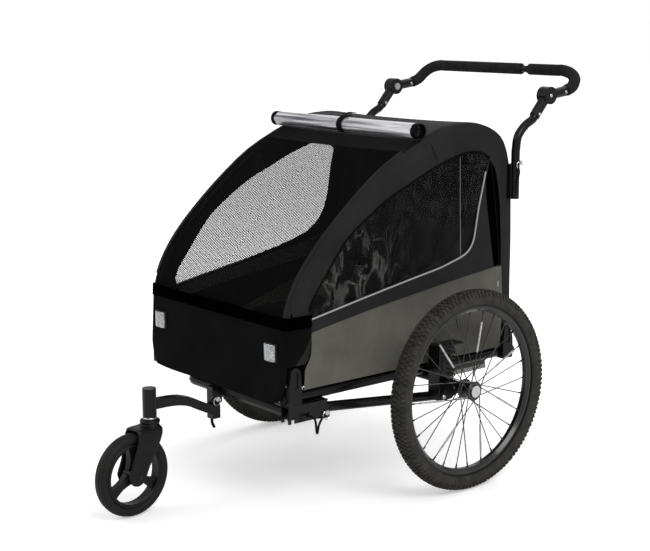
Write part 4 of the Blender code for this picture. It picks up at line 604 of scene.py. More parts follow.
# %% Tow pin leash and webbing stub
TOW_X = 0.266
TOW_PIVOT = (-0.426, 0.246)
TOW_DROOP = math.radians(6.1)
KNUCKLE_HALF = 0.0215 / 2
RUN_ROOM = 0.0006
TOUCH_ROOM = 0.0003
CHEEK = 0.003
TOW_PIN_REACH = 0.048
PIN_HEAD = 0.007
RING_RADIUS = 0.010
RING_WIRE = 0.0011
BOLT_RADIUS = 0.004
LEASH_RADIUS = 0.0028
LEASH_DROP = 0.040


def line_length(points):
    """Length along a line of points."""
    return float(sum((Vector(b) - Vector(a)).length for a, b in zip(points, points[1:])))


cheek_out = KNUCKLE_HALF + RUN_ROOM + CHEEK
loop_x = TOW_X + cheek_out + BOLT_RADIUS + TOUCH_ROOM
ring_y = TOW_PIN_REACH - RING_RADIUS - RING_WIRE - TOUCH_ROOM
ring_x = TOW_X + cheek_out + RUN_ROOM + PIN_HEAD / 2
tow_route = curve_through(
    [(loop_x, -0.004, 0.0), (loop_x + 0.5 * LEASH_DROP, -0.004, -0.1 * LEASH_DROP),
     (loop_x + 0.55 * LEASH_DROP, 0.0, -0.5 * LEASH_DROP),
     (loop_x + 0.40 * LEASH_DROP, 0.22 * ring_y, -0.9 * LEASH_DROP),
     (0.5 * (loop_x + ring_x) + 0.25 * LEASH_DROP, 0.45 * ring_y, -LEASH_DROP),
     (ring_x, 0.75 * ring_y, -0.62 * LEASH_DROP), (ring_x, ring_y, -0.18 * LEASH_DROP)], 3)
tow_turn = Matrix.Rotation(-TOW_DROOP, 3, "X")
tow_points = [spot(x, *(Vector((0, *TOW_PIVOT)) + tow_turn @ Vector((0, y, z))).yz)
              for x, y, z in tow_route]
leash_weave = cloth("braided_leash", "#0c0c0c", "#161616", thread=0.0012)
leash_tow = line_curve("leash_tow_cord", tow_points, LEASH_RADIUS)
leash_tow.data.materials.append(leash_weave)
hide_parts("leash_tow")
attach(leash_tow, "tow_arm")

SOCKET_Y = -0.4755 - 0.0115 - 0.0115
STRAP_TOP = 0.190 - TOUCH_ROOM
TAIL_RADIUS = 0.0035
TAIL_LONG = 0.024
tail_points = [spot(*p) for p in curve_through(
    [(0.0, SOCKET_Y - 0.006, STRAP_TOP), (0.0, SOCKET_Y - 0.0055, STRAP_TOP - 0.4 * TAIL_LONG),
     (0.0, SOCKET_Y - 0.003, STRAP_TOP - 0.7 * TAIL_LONG),
     (0.0, SOCKET_Y + 0.001, STRAP_TOP - TAIL_LONG)], 2)]
tail_piece = tube("leash_jogger_webbing", tail_points, TAIL_RADIUS)
dressed(tail_piece, "leash_jogger_webbing", leash_weave, "base", ["leash_jogger"])
print("tow leash", round(line_length(tow_points) * 1000), "mm, webbing stub",
      round(line_length(tail_points) * 1000), "mm")

# %% [markdown]
# ## The cabin's outline
#
# Two bent tubes, one on each side, carry all the cloth. Their line is the one drawing that every
# cloth piece is cut from: the roof lies a finger's width outside it, the windows end inside it.

# %% Hoop line and the lines beside it
HOOP_X = 0.262
HOOP_Z_FOOT = 0.323
HOOP_KNOTS = [(-0.468, HOOP_Z_FOOT), (-0.468, 0.362), (-0.4745, 0.425), (-0.4735, 0.486),
              (-0.4290, 0.5745), (-0.3255, 0.6817), (-0.1779, 0.7940), (-0.0164, 0.8655),
              (0.0604, 0.878), (0.1179, 0.8751), (0.1593, 0.8622), (0.1903, 0.8429),
              (0.2091, 0.8145), (0.2213, 0.7675), (0.2290, 0.689), (0.232, 0.560), (0.232, HOOP_Z_FOOT)]
hoop_line = curve_through(HOOP_KNOTS, 4)
SIDES = (("left", 1.0), ("right", -1.0))


def evenly(line, step):
    """The same line with points a step apart."""
    pts = np.array(line, dtype=float)
    run = np.concatenate([[0], np.cumsum(np.linalg.norm(np.diff(pts, axis=0), axis=1))])
    marks = np.linspace(0, run[-1], max(2, int(round(run[-1] / step)) + 1))
    return [tuple(p) for p in np.stack([np.interp(marks, run, pts[:, k]) for k in range(pts.shape[1])], 1)]


def clipped(line, test):
    """The points of a line that pass a test."""
    return [p for p in line if test(*p)]


def z_on(line, y):
    """Height of a line that runs along y, at a place."""
    pts = sorted(line)
    return float(np.interp(y, [p[0] for p in pts], [p[1] for p in pts]))


# %% [markdown]
# ## Side cloths
#
# Each side is one panel of black cloth with a window in it, sewn in a sleeve round the hoop, and a
# grey panel below. Flat outlines are filled, cut into a net of small faces, and pushed outwards
# by a smooth rule, because pulled cloth is never flat: it hollows between its edges.

# %% A patch of cloth cut from a flat outline
SMALLEST_FACE = 0.0003


def patch(name, outline, holes, x, cell, thick, relief=None, outward=1.0):
    """A filled (y, z) outline at a place along X, cut in cells, shaped by relief(y, z) outwards."""
    data = bpy.data.curves.new(name, "CURVE")
    data.dimensions = "2D"
    data.fill_mode = "FRONT"
    for ring in (outline, *holes):
        strand = data.splines.new("POLY")
        strand.points.add(len(ring) - 1)
        for knot, (y, z) in zip(strand.points, ring):
            knot.co = (y, z, 0.0, 1.0)
        strand.use_cyclic_u = True
    flat = bpy.data.objects.new(name, data)
    scene.collection.objects.link(flat)
    alone(flat)
    bpy.ops.object.convert(target="MESH")
    flat = bpy.context.object
    lows = np.min(np.array(outline), axis=0)
    highs = np.max(np.array(outline), axis=0)
    cuts = []
    for axis, way in enumerate(((1, 0, 0), (0, 1, 0))):
        for place in np.arange(lows[axis] + cell / 2, highs[axis], cell):
            cuts.append(("bisect", {"plane_co": Vector(way) * place, "plane_no": way}))
    edited(flat, *cuts, ("remove_doubles", {"threshold": SMALLEST_FACE}))
    mesh = flat.data
    cloth_map = mesh.uv_layers.get("UVMap") or mesh.uv_layers.new(name="UVMap")
    for loop in mesh.loops:
        cloth_map.data[loop.index].uv = mesh.vertices[loop.vertex_index].co.xy
    for vertex in mesh.vertices:
        y, z = vertex.co.xy
        push = relief(y, z) if relief else 0.0
        vertex.co = spot(x + outward * push, y, z)
    edited(flat, OUTWARDS)
    if mesh.polygons[0].normal.x * outward < 0:
        edited(flat, TURNED_ROUND)
    return apply_step(flat, "SOLIDIFY", thickness=thick, offset=-1.0)


def from_edge(line, y, z):
    """Distance from a (y, z) place to a line."""
    pts, here = np.array(line), np.array((y, z))
    a, run = pts[:-1], np.diff(pts, axis=0)
    share = np.clip(np.sum((here - a) * run, 1) / np.maximum(np.sum(run * run, 1), 1e-12), 0, 1)
    return float(np.min(np.linalg.norm(a + run * share[:, None] - here, axis=1)))


# Lines read off the photograph on the plane of the near side
WINDOW_ARCH = [(-0.421, 0.489), (-0.413, 0.511), (-0.392, 0.538), (-0.362, 0.578), (-0.332, 0.615),
               (-0.302, 0.646), (-0.240, 0.690), (-0.178, 0.726), (-0.114, 0.753), (-0.048, 0.781),
               (0.018, 0.803), (0.072, 0.816), (0.115, 0.817), (0.140, 0.811), (0.160, 0.799)]
PIPING_LINE = [(0.147, 0.766), (0.136, 0.721), (0.126, 0.684), (0.119, 0.650), (0.112, 0.612),
               (0.105, 0.590), (0.090, 0.571), (0.066, 0.559), (0.030, 0.549), (-0.011, 0.539),
               (-0.078, 0.528), (-0.144, 0.517), (-0.208, 0.506), (-0.271, 0.495), (-0.332, 0.484),
               (-0.392, 0.473), (-0.416, 0.469)]
GREY_TOP = [(-0.414, 0.437), (-0.332, 0.451), (-0.208, 0.470), (-0.077, 0.487), (0.059, 0.504),
            (0.200, 0.520)]
GREY_FRONT = [(-0.414, 0.437), (-0.416, 0.409), (-0.421, 0.382), (-0.430, 0.366), (-0.436, 0.356),
              (-0.436, 0.3065)]
GREY_LOW_Z = 0.3065
# The zip's flap down the window's rear edge; its near black is painted shade of the groove where the side meets
# the rear hoop.
ZIP_FLY_SHADE_STRIP = [(0.1622, 0.7941), (0.1810, 0.7700), (0.1925, 0.7284), (0.2010, 0.6768), (0.2060, 0.5858),
           (0.2080, 0.5281), (0.2060, 0.5190), (0.1865, 0.5180), (0.1820, 0.5321), (0.1670, 0.6159),
           (0.1530, 0.6938), (0.1490, 0.7449)]
ZIP_TEETH = [(0.1640, 0.7880), (0.1745, 0.7284), (0.1860, 0.6500), (0.1950, 0.5858), (0.1985, 0.5230)]
BAND_SEAM = [(-0.0478, 0.8520), (-0.0359, 0.8321), (-0.0221, 0.8070)]
FACING_EDGE = [(0.079, 0.811), (0.097, 0.796), (0.108, 0.784), (0.097, 0.740), (0.084, 0.658),
               (0.068, 0.615), (0.044, 0.586), (0.007, 0.561), (-0.081, 0.536), (-0.208, 0.509)]
FACING_BACK = [(-0.208, 0.504), (-0.078, 0.524), (0.030, 0.545), (0.092, 0.566), (0.113, 0.590),
               (0.128, 0.650), (0.144, 0.721), (0.156, 0.766), (0.158, 0.797), (0.140, 0.815),
               (0.115, 0.822), (0.085, 0.820)]
# A pale line inside the near window: a painted highlight along a seam's edge behind the film.
FILM_EDGE_HIGHLIGHT = [(0.0535, 0.8080), (0.0550, 0.7300), (0.0575, 0.6500), (0.0600, 0.5620)]

window_arch = evenly(curve_through(WINDOW_ARCH, 4), 0.010)
piping_line = evenly(curve_through(PIPING_LINE, 4), 0.010)
grey_top = evenly(curve_through(GREY_TOP, 4), 0.012)
grey_front = evenly(curve_through(GREY_FRONT, 4), 0.012)
window_ring = [*window_arch, *piping_line]
print("window about", round(max(p[0] for p in window_ring) - min(p[0] for p in window_ring), 3), "m long")

# %% Black surround, clear window and grey panel on each side
outer_line = beside(hoop_line, 0.0105)
HEM_FOOT_Z = 0.367
BAND_TOP_Z = 0.480
outer_up = clipped(outer_line, lambda y, z: z > HEM_FOOT_Z and (y > 0 or z > BAND_TOP_Z + 0.011))
leg_up = clipped(hoop_line, lambda y, z: y < 0 and HEM_FOOT_Z < z <= BAND_TOP_Z + 0.009)
foot_back = (outer_up[-1][0], HEM_FOOT_Z)
black_ring = [(leg_up[0][0] + 0.004, HEM_FOOT_Z), *[(y + 0.004, z) for y, z in leg_up], *outer_up,
              foot_back, (0.2125, HEM_FOOT_Z), (0.2125, grey_top[-1][1]), *reversed(grey_top),
              *clipped(grey_front, lambda y, z: HEM_FOOT_Z < z < 0.43), (-0.433, HEM_FOOT_Z)]
grey_ring = [*grey_front, (0.2120, GREY_LOW_Z), (0.2120, grey_top[-1][1] - 0.001),
             *[(y, z - 0.0006) for y, z in reversed(grey_top[1:])]]


def black_relief(y, z):
    """The sleeve follows the tube; the cloth between its seams is drawn in a little."""
    inside = from_edge(hoop_line, y, z)
    sleeve = 0.0020 * math.exp(-(inside / 0.016) ** 2)
    drawn = 0.0006 * math.sin(31 * y + 17 * z) * math.sin(23 * z - 9 * y)
    return sleeve + drawn


def grey_relief(y, z):
    """The grey panel bellies between the sewn top and the rail, with two shallow pulls."""
    top = z_on(grey_top, y)
    up = min(1.0, max(0.0, (z - GREY_LOW_Z) / (top - GREY_LOW_Z)))
    belly = 0.0040 * math.sin(math.pi * up)
    pulls = 0.0011 * math.sin(19 * y + 24 * z) * math.sin(math.pi * up)
    return belly + pulls


def film_relief(y, z):
    """Film hangs in shallow upright wrinkles, flat along its sewn edge."""
    edge = min(1.0, from_edge(window_ring, y, z) / 0.045)
    upright = 0.0022 * math.sin(95 * y + 14 * z + 2.2 * math.sin(17 * z))
    fine = 0.0010 * math.sin(210 * y - 60 * z + 1.7 * math.sin(31 * y))
    slack = 0.0050 * edge
    return edge * (upright + fine) + slack


def seam(name, line, x, radius, finish, body, outward, lift=0.0):
    """A cord of piping or a row of stitching that lies along a (y, z) line on a side."""
    points = [spot(x + outward * lift, y, z) for y, z in line]
    return dressed(tube(name, points, radius, round_steps=2), name, finish, body)


def sewn(name, outline, x, cell, thick, relief, finish, body, s, holes=(),
         instead_of=(), angle=35):
    """A patch on one side, with its finish and body."""
    flat = patch(name, outline, holes, x, cell, thick, relief, s)
    return cut_from(dressed(flat, name, finish, body, instead_of, angle))


CLOTH_WALL = 0.0012
FILM_IN, FACING_IN, INNER_IN, LINING_IN = 0.0012, 0.0050, 0.0040, 0.0042     # inside of the cloth
# The zip round the window's arch is drawn near black: painted shade of the groove between the sleeve and the
# film.
SEAMS = (("piping", piping_line, 0.0022, piping_tape, "grey_plastic", 0.0008),
         ("window_zip", window_arch, 0.0030, black_zip_and_painted_shade, "black_cloth", -0.0003),
         ("grey_seam", grey_top, 0.0009, grey_cloth, "grey_cloth", 0.0006),
         ("zip_teeth", evenly(ZIP_TEETH, 0.006), 0.0016, black_zip_and_painted_shade, "black_cloth", 0.0024),
         ("band_seam", BAND_SEAM, 0.0008, black_zip_and_painted_shade, "black_cloth", 0.0010))
FOOT_STRAP = ((0.2165, 0.3840), (0.2260, 0.3780), (0.2350, 0.3660), (0.2440, 0.3550))
inner_ring = [*[(y, z - 0.006) for y, z in reversed(piping_line) if y < 0.10],
              *[(y, z - 0.004) for y, z in reversed(grey_top)][3:-1]]
lining_ring = [(y, z - 0.005) for y, z in grey_ring[:-1] if z > 0.312]
for side, s in SIDES:
    body, surround, node = f"{side}_side", f"side_cloth_{side}_sewn", f"side_cloth_{side}"
    wall_x = s * (CLOTH_X + 0.0006)
    sewn(surround, black_ring, wall_x, 0.012, CLOTH_WALL, black_relief, black_cloth, body,
         s, [window_ring], [node])
    sewn(f"side_window_{side}_film", window_ring, s * (CLOTH_X - FILM_IN), 0.008, 0.0005, film_relief,
         clear_film, body, s, (), [f"side_window_{side}"], 60)
    sewn(f"side_panel_{side}_sewn", grey_ring, wall_x, 0.014, CLOTH_WALL, grey_relief, grey_cloth,
         body, s, (), [f"side_panel_{side}"])
    # A near-black strip on the cloth: a zip's flap, drawn in the darkest cloth as painted shade of the groove
    # there.
    sewn(f"zip_fly_shade_{side}", ZIP_FLY_SHADE_STRIP, wall_x + s * CLOTH_WALL, 0.02, CLOTH_WALL, black_relief, elastic_and_painted_shade,
         body, s)
    for name, line, radius, finish, slot, lift in SEAMS:
        seam(f"{name}_{side}", line, wall_x, radius, finish, body, s, lift)
    # A pale cord on the near side only: a painted highlight on a seam's edge behind the film.
    if s > 0:
        seam("film_weld", FILM_EDGE_HIGHLIGHT, s * CLOTH_X, 0.0004, grey_nylon, body, s, 0.0042)
    sewn(f"window_facing_{side}", [*FACING_EDGE, *FACING_BACK], s * (CLOTH_X - FACING_IN), 0.03, 0.0010,
         None, shaded_black_cloth, body, s)
    sewn(f"inner_band_{side}", inner_ring, s * (CLOTH_X - INNER_IN), 0.03, 0.0008, None, inner_cloth,
         body, s)
    sewn(f"panel_lining_{side}", lining_ring, s * (CLOTH_X - LINING_IN), 0.03, 0.0008, None, shaded_black_cloth,
         body, s)
    puller = soft_box(spot(0, 0.1952, 0.4560), spot(0.0014, 0.2002, 0.4800), 0.0006)
    puller.data.transform(Matrix.Translation((s * (CLOTH_X + 0.0032) - 0.0007, 0, 0)))
    dressed(puller, f"zip_puller_{side}", pale_webbing, body)
    strap_along(f"foot_strap_{side}", [spot(s * (CLOTH_X + 0.0030), y, z) for y, z in FOOT_STRAP],
                [(0, 0.0060, 0.0085)] * 4, CLOTH_WALL, pale_webbing, body)
print("sides sewn")

# %% [markdown]
# ## Roof, rear cloth and net
#
# One strip of cloth runs over both hoops, from the front edge under the rolled rain cover, over
# the roof and down the back. It rounds the tubes at its edges and hangs a few millimetres slack
# between them. The net continues it to the front, down to the elastic band.

# %% A strip of cloth over both hoops
OVER_HOOP = 0.0128           # the strip's wall outside the tubes' centre line
CORNER = 0.0118
OVER_CLOTH = 0.0009          # a second layer sewn on the first


def strip_rows(line, slack, lift=0.0):
    """Rows of points for cloth over both hoops along a (y, z) line: round one tube, across, round the other."""
    over = beside(line, OVER_HOOP + lift)
    inward = beside(line, OVER_HOOP - CORNER)
    rows = []
    for (y1, z1), (y0, z0) in zip(over, inward):
        out = np.array((y1 - y0, z1 - z0)) / CORNER
        row = []
        for a in np.linspace(0, math.pi / 2, 6)[:-1]:
            low = np.array((y0, z0)) + out * CORNER * math.sin(a)
            row.append((HOOP_X + (CORNER + lift) * math.cos(a), *low))
        for t in np.linspace(1, -1, 29):
            sag = slack * (1 - abs(t) ** 2.2)
            mid = np.array((y1, z1)) - out * sag
            row.append((HOOP_X * t, *mid))
        for a in np.linspace(math.pi / 2, 0, 6)[1:]:
            low = np.array((y0, z0)) + out * CORNER * math.sin(a)
            row.append((-HOOP_X - (CORNER + lift) * math.cos(a), *low))
        rows.append([tuple(spot(*p)) for p in row])
    return rows


ROOF_FRONT_Y = -0.110
fine_line = evenly(hoop_line, 0.012)
roof_line = clipped(fine_line, lambda y, z: (z > 0.486 and y > ROOF_FRONT_Y - 0.006)
                    or (y > 0.1 and z > 0.368))
net_line = clipped(fine_line, lambda y, z: z > 0.470 and y < ROOF_FRONT_Y + 0.006 and z < 0.87)


def bent_with(side, s, *pieces):
    """Fixes each piece's place into its mesh; it bends nothing."""
    for piece in pieces:
        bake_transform(piece)


def folding_halves(name, rows, thick, finish, stands_for=(), angle=50):
    """A sheet over both hoops, in two halves sewn in the middle."""
    middle = len(rows[0]) // 2
    for side, s in SIDES:
        part = [row[:middle + 1] if s > 0 else row[middle:] for row in rows]
        half = grid_sheet(f"{name}_{side}", part, thick)
        dressed(half, f"{name}_{side}", finish, None, stands_for, angle)
        bent_with(side, s, cut_from(half))


folding_halves("roof_cloth", strip_rows(roof_line, 0.0045), CLOTH_WALL, black_cloth, ["canopy"])
folding_halves("front_net", strip_rows(net_line, 0.0035), 0, net_cloth, ["front_screen"], 60)

front_edge = clipped(fine_line, lambda y, z: z > 0.80 and ROOF_FRONT_Y - 0.022 < y < ROOF_FRONT_Y + 0.040)
folding_halves("roof_front_binding", strip_rows(front_edge, 0.0040, lift=OVER_CLOTH), CLOTH_WALL, binding)
BORDER_COLUMNS = 6           # five round the tube and one over it
for side, s in SIDES:
    taped = [row[:BORDER_COLUMNS] if s > 0 else row[-BORDER_COLUMNS:]
             for row in strip_rows(net_line, 0.0030, lift=OVER_CLOTH)]
    border = grid_sheet(f"net_border_{side}", taped, CLOTH_WALL)
    dressed(border, f"net_border_{side}", black_cloth)
    bent_with(side, s, cut_from(border))

REAR_HALF, REAR_Y = 0.236, 0.232
rear_rows = [[tuple(spot(REAR_HALF * t, REAR_Y + OVER_HOOP, z)) for t in np.linspace(1, -1, 21)]
             for z in (0.368, 0.340, 0.3115)]
folding_halves("rear_cloth_hem", rear_rows, CLOTH_WALL, black_cloth)
print("roof rows", len(roof_line), "net rows", len(net_line))

# %% [markdown]
# ## Front panel, elastic band and reflectors
#
# Below the net a low apron wraps round both front corners. Its top edge is a broad elastic band, the
# blackest thing on the trailer: its own near black, made darker still as painted shade on the front.
# Two clip-on reflectors sit near its ends.

# %% Front apron
PANEL_BOTTOM_Z = 0.281
PANEL_LEAN = 0.012
WRAP_BACK_Y = -0.417
FRONT_FACE_Y = min(y for y, z in beside(hoop_line, 0.0118)) - 0.0006
WRAP_HALF = HOOP_X + 0.0133 + 0.0006
WRAP_ROUND = 0.0145
WRAP_SWEEP, SWEEP_TOP_Z, SWEEP_LOW_Z = 0.048, 0.440, 0.368     # its back edge runs forward below
CORNER_IN, ROUND_TOP_Z = 0.10, 0.345                           # and its lower corners are rounded


def apron_path(lean, out, back=WRAP_BACK_Y):
    """Plan outline of the wrapped apron at one height, from its left end to its right end."""
    face = FRONT_FACE_Y - lean - out
    reach = WRAP_HALF + out
    left = [(reach - WRAP_ROUND + WRAP_ROUND * math.cos(a), face + WRAP_ROUND + WRAP_ROUND * math.sin(a))
            for a in np.radians(np.linspace(0, -90, 10))]
    run = [(x, face) for x in np.linspace(reach - WRAP_ROUND, -reach + WRAP_ROUND, 31)[1:-1]]
    side_run = [(reach, y) for y in np.linspace(back, face + WRAP_ROUND, 5)[:-1]]
    half = [*side_run, *left]
    return [*half, *run, *[(-x, y) for x, y in reversed(half)]]


def apron_rows(low_z, high_z, out, count):
    """Rows of points up the apron."""
    rows = []
    for z in np.linspace(low_z, high_z, count):
        share = (BAND_TOP_Z - z) / (BAND_TOP_Z - PANEL_BOTTOM_Z)
        row = []
        swept = min(1.0, max(0.0, (SWEEP_TOP_Z - z) / (SWEEP_TOP_Z - SWEEP_LOW_Z)))
        rounded = min(1.0, max(0.0, (ROUND_TOP_Z - z) / (ROUND_TOP_Z - PANEL_BOTTOM_Z)))
        for x, y in apron_path(PANEL_LEAN * share, out, WRAP_BACK_Y - WRAP_SWEEP * swept ** 1.6):
            across = x / WRAP_HALF
            inside = 1 - CORNER_IN * rounded ** 2 * max(0.0, abs(across) - 0.6) / 0.4
            free = max(0.0, 1 - abs(across) ** 6)
            drawn = 0.0022 * math.sin(math.pi * share) * free
            ripple = 0.0008 * math.sin(26 * x + 11 * z) * free
            drop = 0.0045 * free * share ** 3
            row.append(tuple(spot(x * inside, y + drawn + ripple, z - drop)))
        rows.append(row)
    return rows


APRON_WALL, ELASTIC_WALL = 0.0014, 0.0026
APRON_OUT, ELASTIC_OUT = 0.0004, 0.0012                        # outside the plain panel's face
upper_rows = apron_rows(SWEEP_LOW_Z, BAND_TOP_Z - 0.020, APRON_OUT, 9)
lower_rows = apron_rows(PANEL_BOTTOM_Z, SWEEP_LOW_Z, APRON_OUT, 9)
turn_at = sum(1 for x, y in apron_path(0.0, 0.0) if x > 0.235 and y > -0.478)
lower_rows = [row[turn_at:-turn_at] for row in lower_rows]     # below the brackets it doesn't wrap
# The apron takes the darker copy of the black cloth: painted shade on the front.
folding_halves("apron_upper", upper_rows, -APRON_WALL, shaded_black_cloth, ["front_panel"])
folding_halves("apron_lower", lower_rows, -APRON_WALL, shaded_black_cloth)
folding_halves("elastic_band", apron_rows(BAND_TOP_Z - 0.027, BAND_TOP_Z + 0.001, ELASTIC_OUT, 4),
               -ELASTIC_WALL, elastic_and_painted_shade)

# %% [markdown]
# The two clip-on reflectors are silvered lenses on black backs. A real lens is pressed with rows of
# tiny prisms, too small to see from here; what shows is a bright streak down each half of a crowned
# face, and a dark line between them. So the face is cut in strips, which are then pushed out.

# %% Reflectors
REFLECTOR_X, REFLECTOR_Z = 0.227, 0.396
REFLECTOR_HALF, REFLECTOR_TALL = 0.0212, 0.0200
LENS_STRIPS = 19
LENS_CROWN, LENS_GROOVE, LENS_CORNER = 0.0040, 0.0048, 0.14
reflector_front = FRONT_FACE_Y - PANEL_LEAN * (BAND_TOP_Z - REFLECTOR_Z) / (BAND_TOP_Z - PANEL_BOTTOM_Z)
for side, s in SIDES:
    middle = spot(s * REFLECTOR_X, reflector_front - 0.0036, REFLECTOR_Z)
    back = soft_box(middle - Vector((REFLECTOR_HALF + 0.002, 0.0002, REFLECTOR_TALL + 0.002)),
                    middle + Vector((REFLECTOR_HALF + 0.002, 0.0040, REFLECTOR_TALL + 0.002)), 0.0022, 3)
    dressed(back, f"reflector_back_{side}", nylon)
    lens = soft_box(middle - Vector((REFLECTOR_HALF, 0.0030, REFLECTOR_TALL)),
                    middle + Vector((REFLECTOR_HALF, 0.0010, REFLECTOR_TALL)), 0.0016, 3)
    edited(lens, *[("bisect", {"plane_co": middle + Vector((across * REFLECTOR_HALF, 0, 0)),
                               "plane_no": (1, 0, 0)}) for across in np.linspace(-0.9, 0.9, LENS_STRIPS)])
    for vertex in lens.data.vertices:
        across = (vertex.co.x - middle.x) / REFLECTOR_HALF
        corner = max(0.0, abs(vertex.co.z - middle.z) / REFLECTOR_TALL - 0.7) / 0.3
        groove = LENS_GROOVE * math.exp(-(across / 0.12) ** 2)         # down to the black back
        vertex.co.y -= LENS_CROWN * (1 - across ** 2) - groove         # a lens is crowned, in two halves
        vertex.co.x = middle.x + across * REFLECTOR_HALF * (1 - LENS_CORNER * corner ** 2)
    dressed(lens, f"reflector_lens_{side}", lens_plastic)
    bent_with(side, s, back, lens)
print("apron and reflectors on")

# %% [markdown]
# ## Rolled rain cover
#
# The clear rain cover is rolled up on the front edge of the roof and held by a strap with a small
# buckle. Rolled film reads as silver: hundreds of layers, each with its own reflection, drawn as
# streaks along the roll. The black rings at its ends are the cover's sewn border, wound up with it.

# %% The roll, its ends and its strap
roll_low, roll_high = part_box("rain_roll")
roll_mid = (Vector(roll_low) + Vector(roll_high)) / 2
ROLL_HALF = (roll_high[0] - roll_low[0]) / 2
ROLL_RADIUS = (roll_high[2] - roll_low[2]) / 2


def roll_ring(x, radius):
    """A ring of points round the roll's axis, with the long soft folds of wound film."""
    ring = []
    for a in np.linspace(0, 2 * math.pi, 48, endpoint=False):
        fold = (1 + 0.030 * math.sin(5 * a + 3.0 * x) + 0.016 * math.sin(9 * a - 11 * x)
                + 0.02 * math.sin(2 * a + 20 * x))
        ring.append((x, roll_mid.y + radius * fold * math.cos(a), roll_mid.z + radius * fold * math.sin(a)))
    return ring


for side, s in SIDES:
    rings = []
    for x in np.linspace(0.0, ROLL_HALF - 0.015, 24):
        waist = (1 - 0.10 * math.exp(-(x / 0.013) ** 2)
                 + 0.025 * math.exp(-((x - ROLL_HALF + 0.015) / 0.02) ** 2))
        rings.append(roll_ring(s * x, ROLL_RADIUS * 0.93 * waist))
    roll = grid_sheet(f"rolled_cover_{side}", [[*ring, ring[0]] for ring in rings], 0)
    edited(roll, MERGED, OUTWARDS)
    if sum(f.normal.z * (f.center.z - roll_mid.z) for f in roll.data.polygons) < 0:
        edited(roll, TURNED_ROUND)
    dressed(roll, f"rolled_cover_{side}", rolled_film, None, ["rain_roll"], 60)
    inner, outer = s * (ROLL_HALF - 0.017), s * (ROLL_HALF - 0.0005)
    border = spun("border", [(ROLL_RADIUS * 0.80, 0.0), (ROLL_RADIUS * 0.965, 0.0),
                             (ROLL_RADIUS * 0.985, 0.008), (ROLL_RADIUS * 0.96, 0.0165),
                             (ROLL_RADIUS * 0.86, 0.0165), (ROLL_RADIUS * 0.84, 0.011)],
                  (inner, roll_mid.y, roll_mid.z), (s, 0, 0), 40)
    winding = []
    for k in range(110):
        a = k * 0.21
        r = ROLL_RADIUS * (0.10 + 0.74 * k / 110)
        winding.append((outer - s * 0.0055, roll_mid.y + r * math.cos(a), roll_mid.z + r * math.sin(a)))
    ends = joined(f"rolled_cover_end_{side}", [border, tube("winding", winding, 0.0011, round_steps=1)])
    dressed(ends, f"rolled_cover_end_{side}", black_zip_and_painted_shade, None, (), 40)
    bent_with(side, s, roll, ends)

STRAP_HALF = 0.009
strap = spun("roll_strap_webbing", [(ROLL_RADIUS * 0.93, -STRAP_HALF), (ROLL_RADIUS + 0.0002, -STRAP_HALF),
                                    (ROLL_RADIUS + 0.0012, 0.0), (ROLL_RADIUS + 0.0002, STRAP_HALF),
                                    (ROLL_RADIUS * 0.93, STRAP_HALF)], roll_mid, (1, 0, 0), 48)
dressed(strap, "roll_strap_webbing", webbing, "base", ["roll_strap"], 40)
glide_at = roll_mid + Vector((0, 0.004, ROLL_RADIUS + 0.0012))
BAR_HALF, BAR_TALL = 0.0018, 0.0034      # three bars across the buckle and one along each end
glide_bars = [((-0.0145, y - BAR_HALF), (0.0145, y + BAR_HALF)) for y in (-0.008, 0.0, 0.008)]
glide_bars += [((x - BAR_HALF, -0.0098), (x + BAR_HALF, 0.0098)) for x in (-0.0127, 0.0127)]
glide = [soft_box(glide_at + Vector((*low, 0)), glide_at + Vector((*high, BAR_TALL)), 0.0009)
         for low, high in glide_bars]
dressed(joined("strap_glide", glide), "strap_glide", nylon, "base")
tail_line = [glide_at + Vector(p) for p in ((0, -0.006, 0.0040), (0, 0.010, 0.0060), (0.002, 0.019, 0.0085),
                                            (0.006, 0.026, 0.0065))]
strap_along("roll_strap_tail", tail_line, [(0.017, 0, 0)] * len(tail_line), CLOTH_WALL, webbing,
            "base")
print("roll", round(2 * ROLL_HALF, 3), "m long")

# %% [markdown]
# ## Seats
#
# Two children sit side by side on one cushion, against one padded back. Stuffed cloth has no flat
# face and no straight edge, and the surest way to get its shape is to blow it up: a plain block a
# little too small is cut in even cells, given the cloth physics and some air inside, and stopped
# after a few steps. The sewn channels are pressed in afterwards, where thread would hold it down.

# %% Blow up a pad
AIR_PRESSURE, PAD_CELL, PAD_FRAMES = 4.0, 0.006, 20


def puffed(piece, cap):
    """Swells a closed block by cloth simulation; no point moves further than cap."""
    apply_step(piece, "REMESH", mode="VOXEL", voxel_size=PAD_CELL)
    before = np.array([tuple(v.co) for v in piece.data.vertices])
    alone(piece)
    air = piece.modifiers.new("air", "CLOTH")
    air.settings.use_pressure = True
    air.settings.uniform_pressure_force = AIR_PRESSURE
    air.settings.effector_weights.gravity = 0.0
    air.point_cache.frame_start, air.point_cache.frame_end = 1, PAD_FRAMES
    for step in range(1, PAD_FRAMES + 1):
        scene.frame_set(step)
    bpy.ops.object.modifier_apply(modifier=air.name)
    scene.frame_set(1)
    after = np.array([tuple(v.co) for v in piece.data.vertices])
    moved = after - before
    far = np.linalg.norm(moved, axis=1)
    held = before + moved * np.minimum(1.0, cap / np.maximum(far, 1e-9))[:, None]
    piece.data.vertices.foreach_set("co", held.ravel())
    piece.data.update()
    print(piece.name, "swelled by up to", round(float(min(far.max(), cap)) * 1000, 1), "mm")
    return piece


def pressed(piece, lines, depth, wide, side_of):
    """Presses sewn channels into a pad: lines give (axis, place), side_of picks the face."""
    for vertex in piece.data.vertices:
        share = side_of(vertex.co)
        if share > 0:
            dip = max(math.exp(-((vertex.co[axis] - place) / wide) ** 2) for axis, place in lines)
            vertex.co.z -= depth * dip * share
    piece.data.update()
    return piece


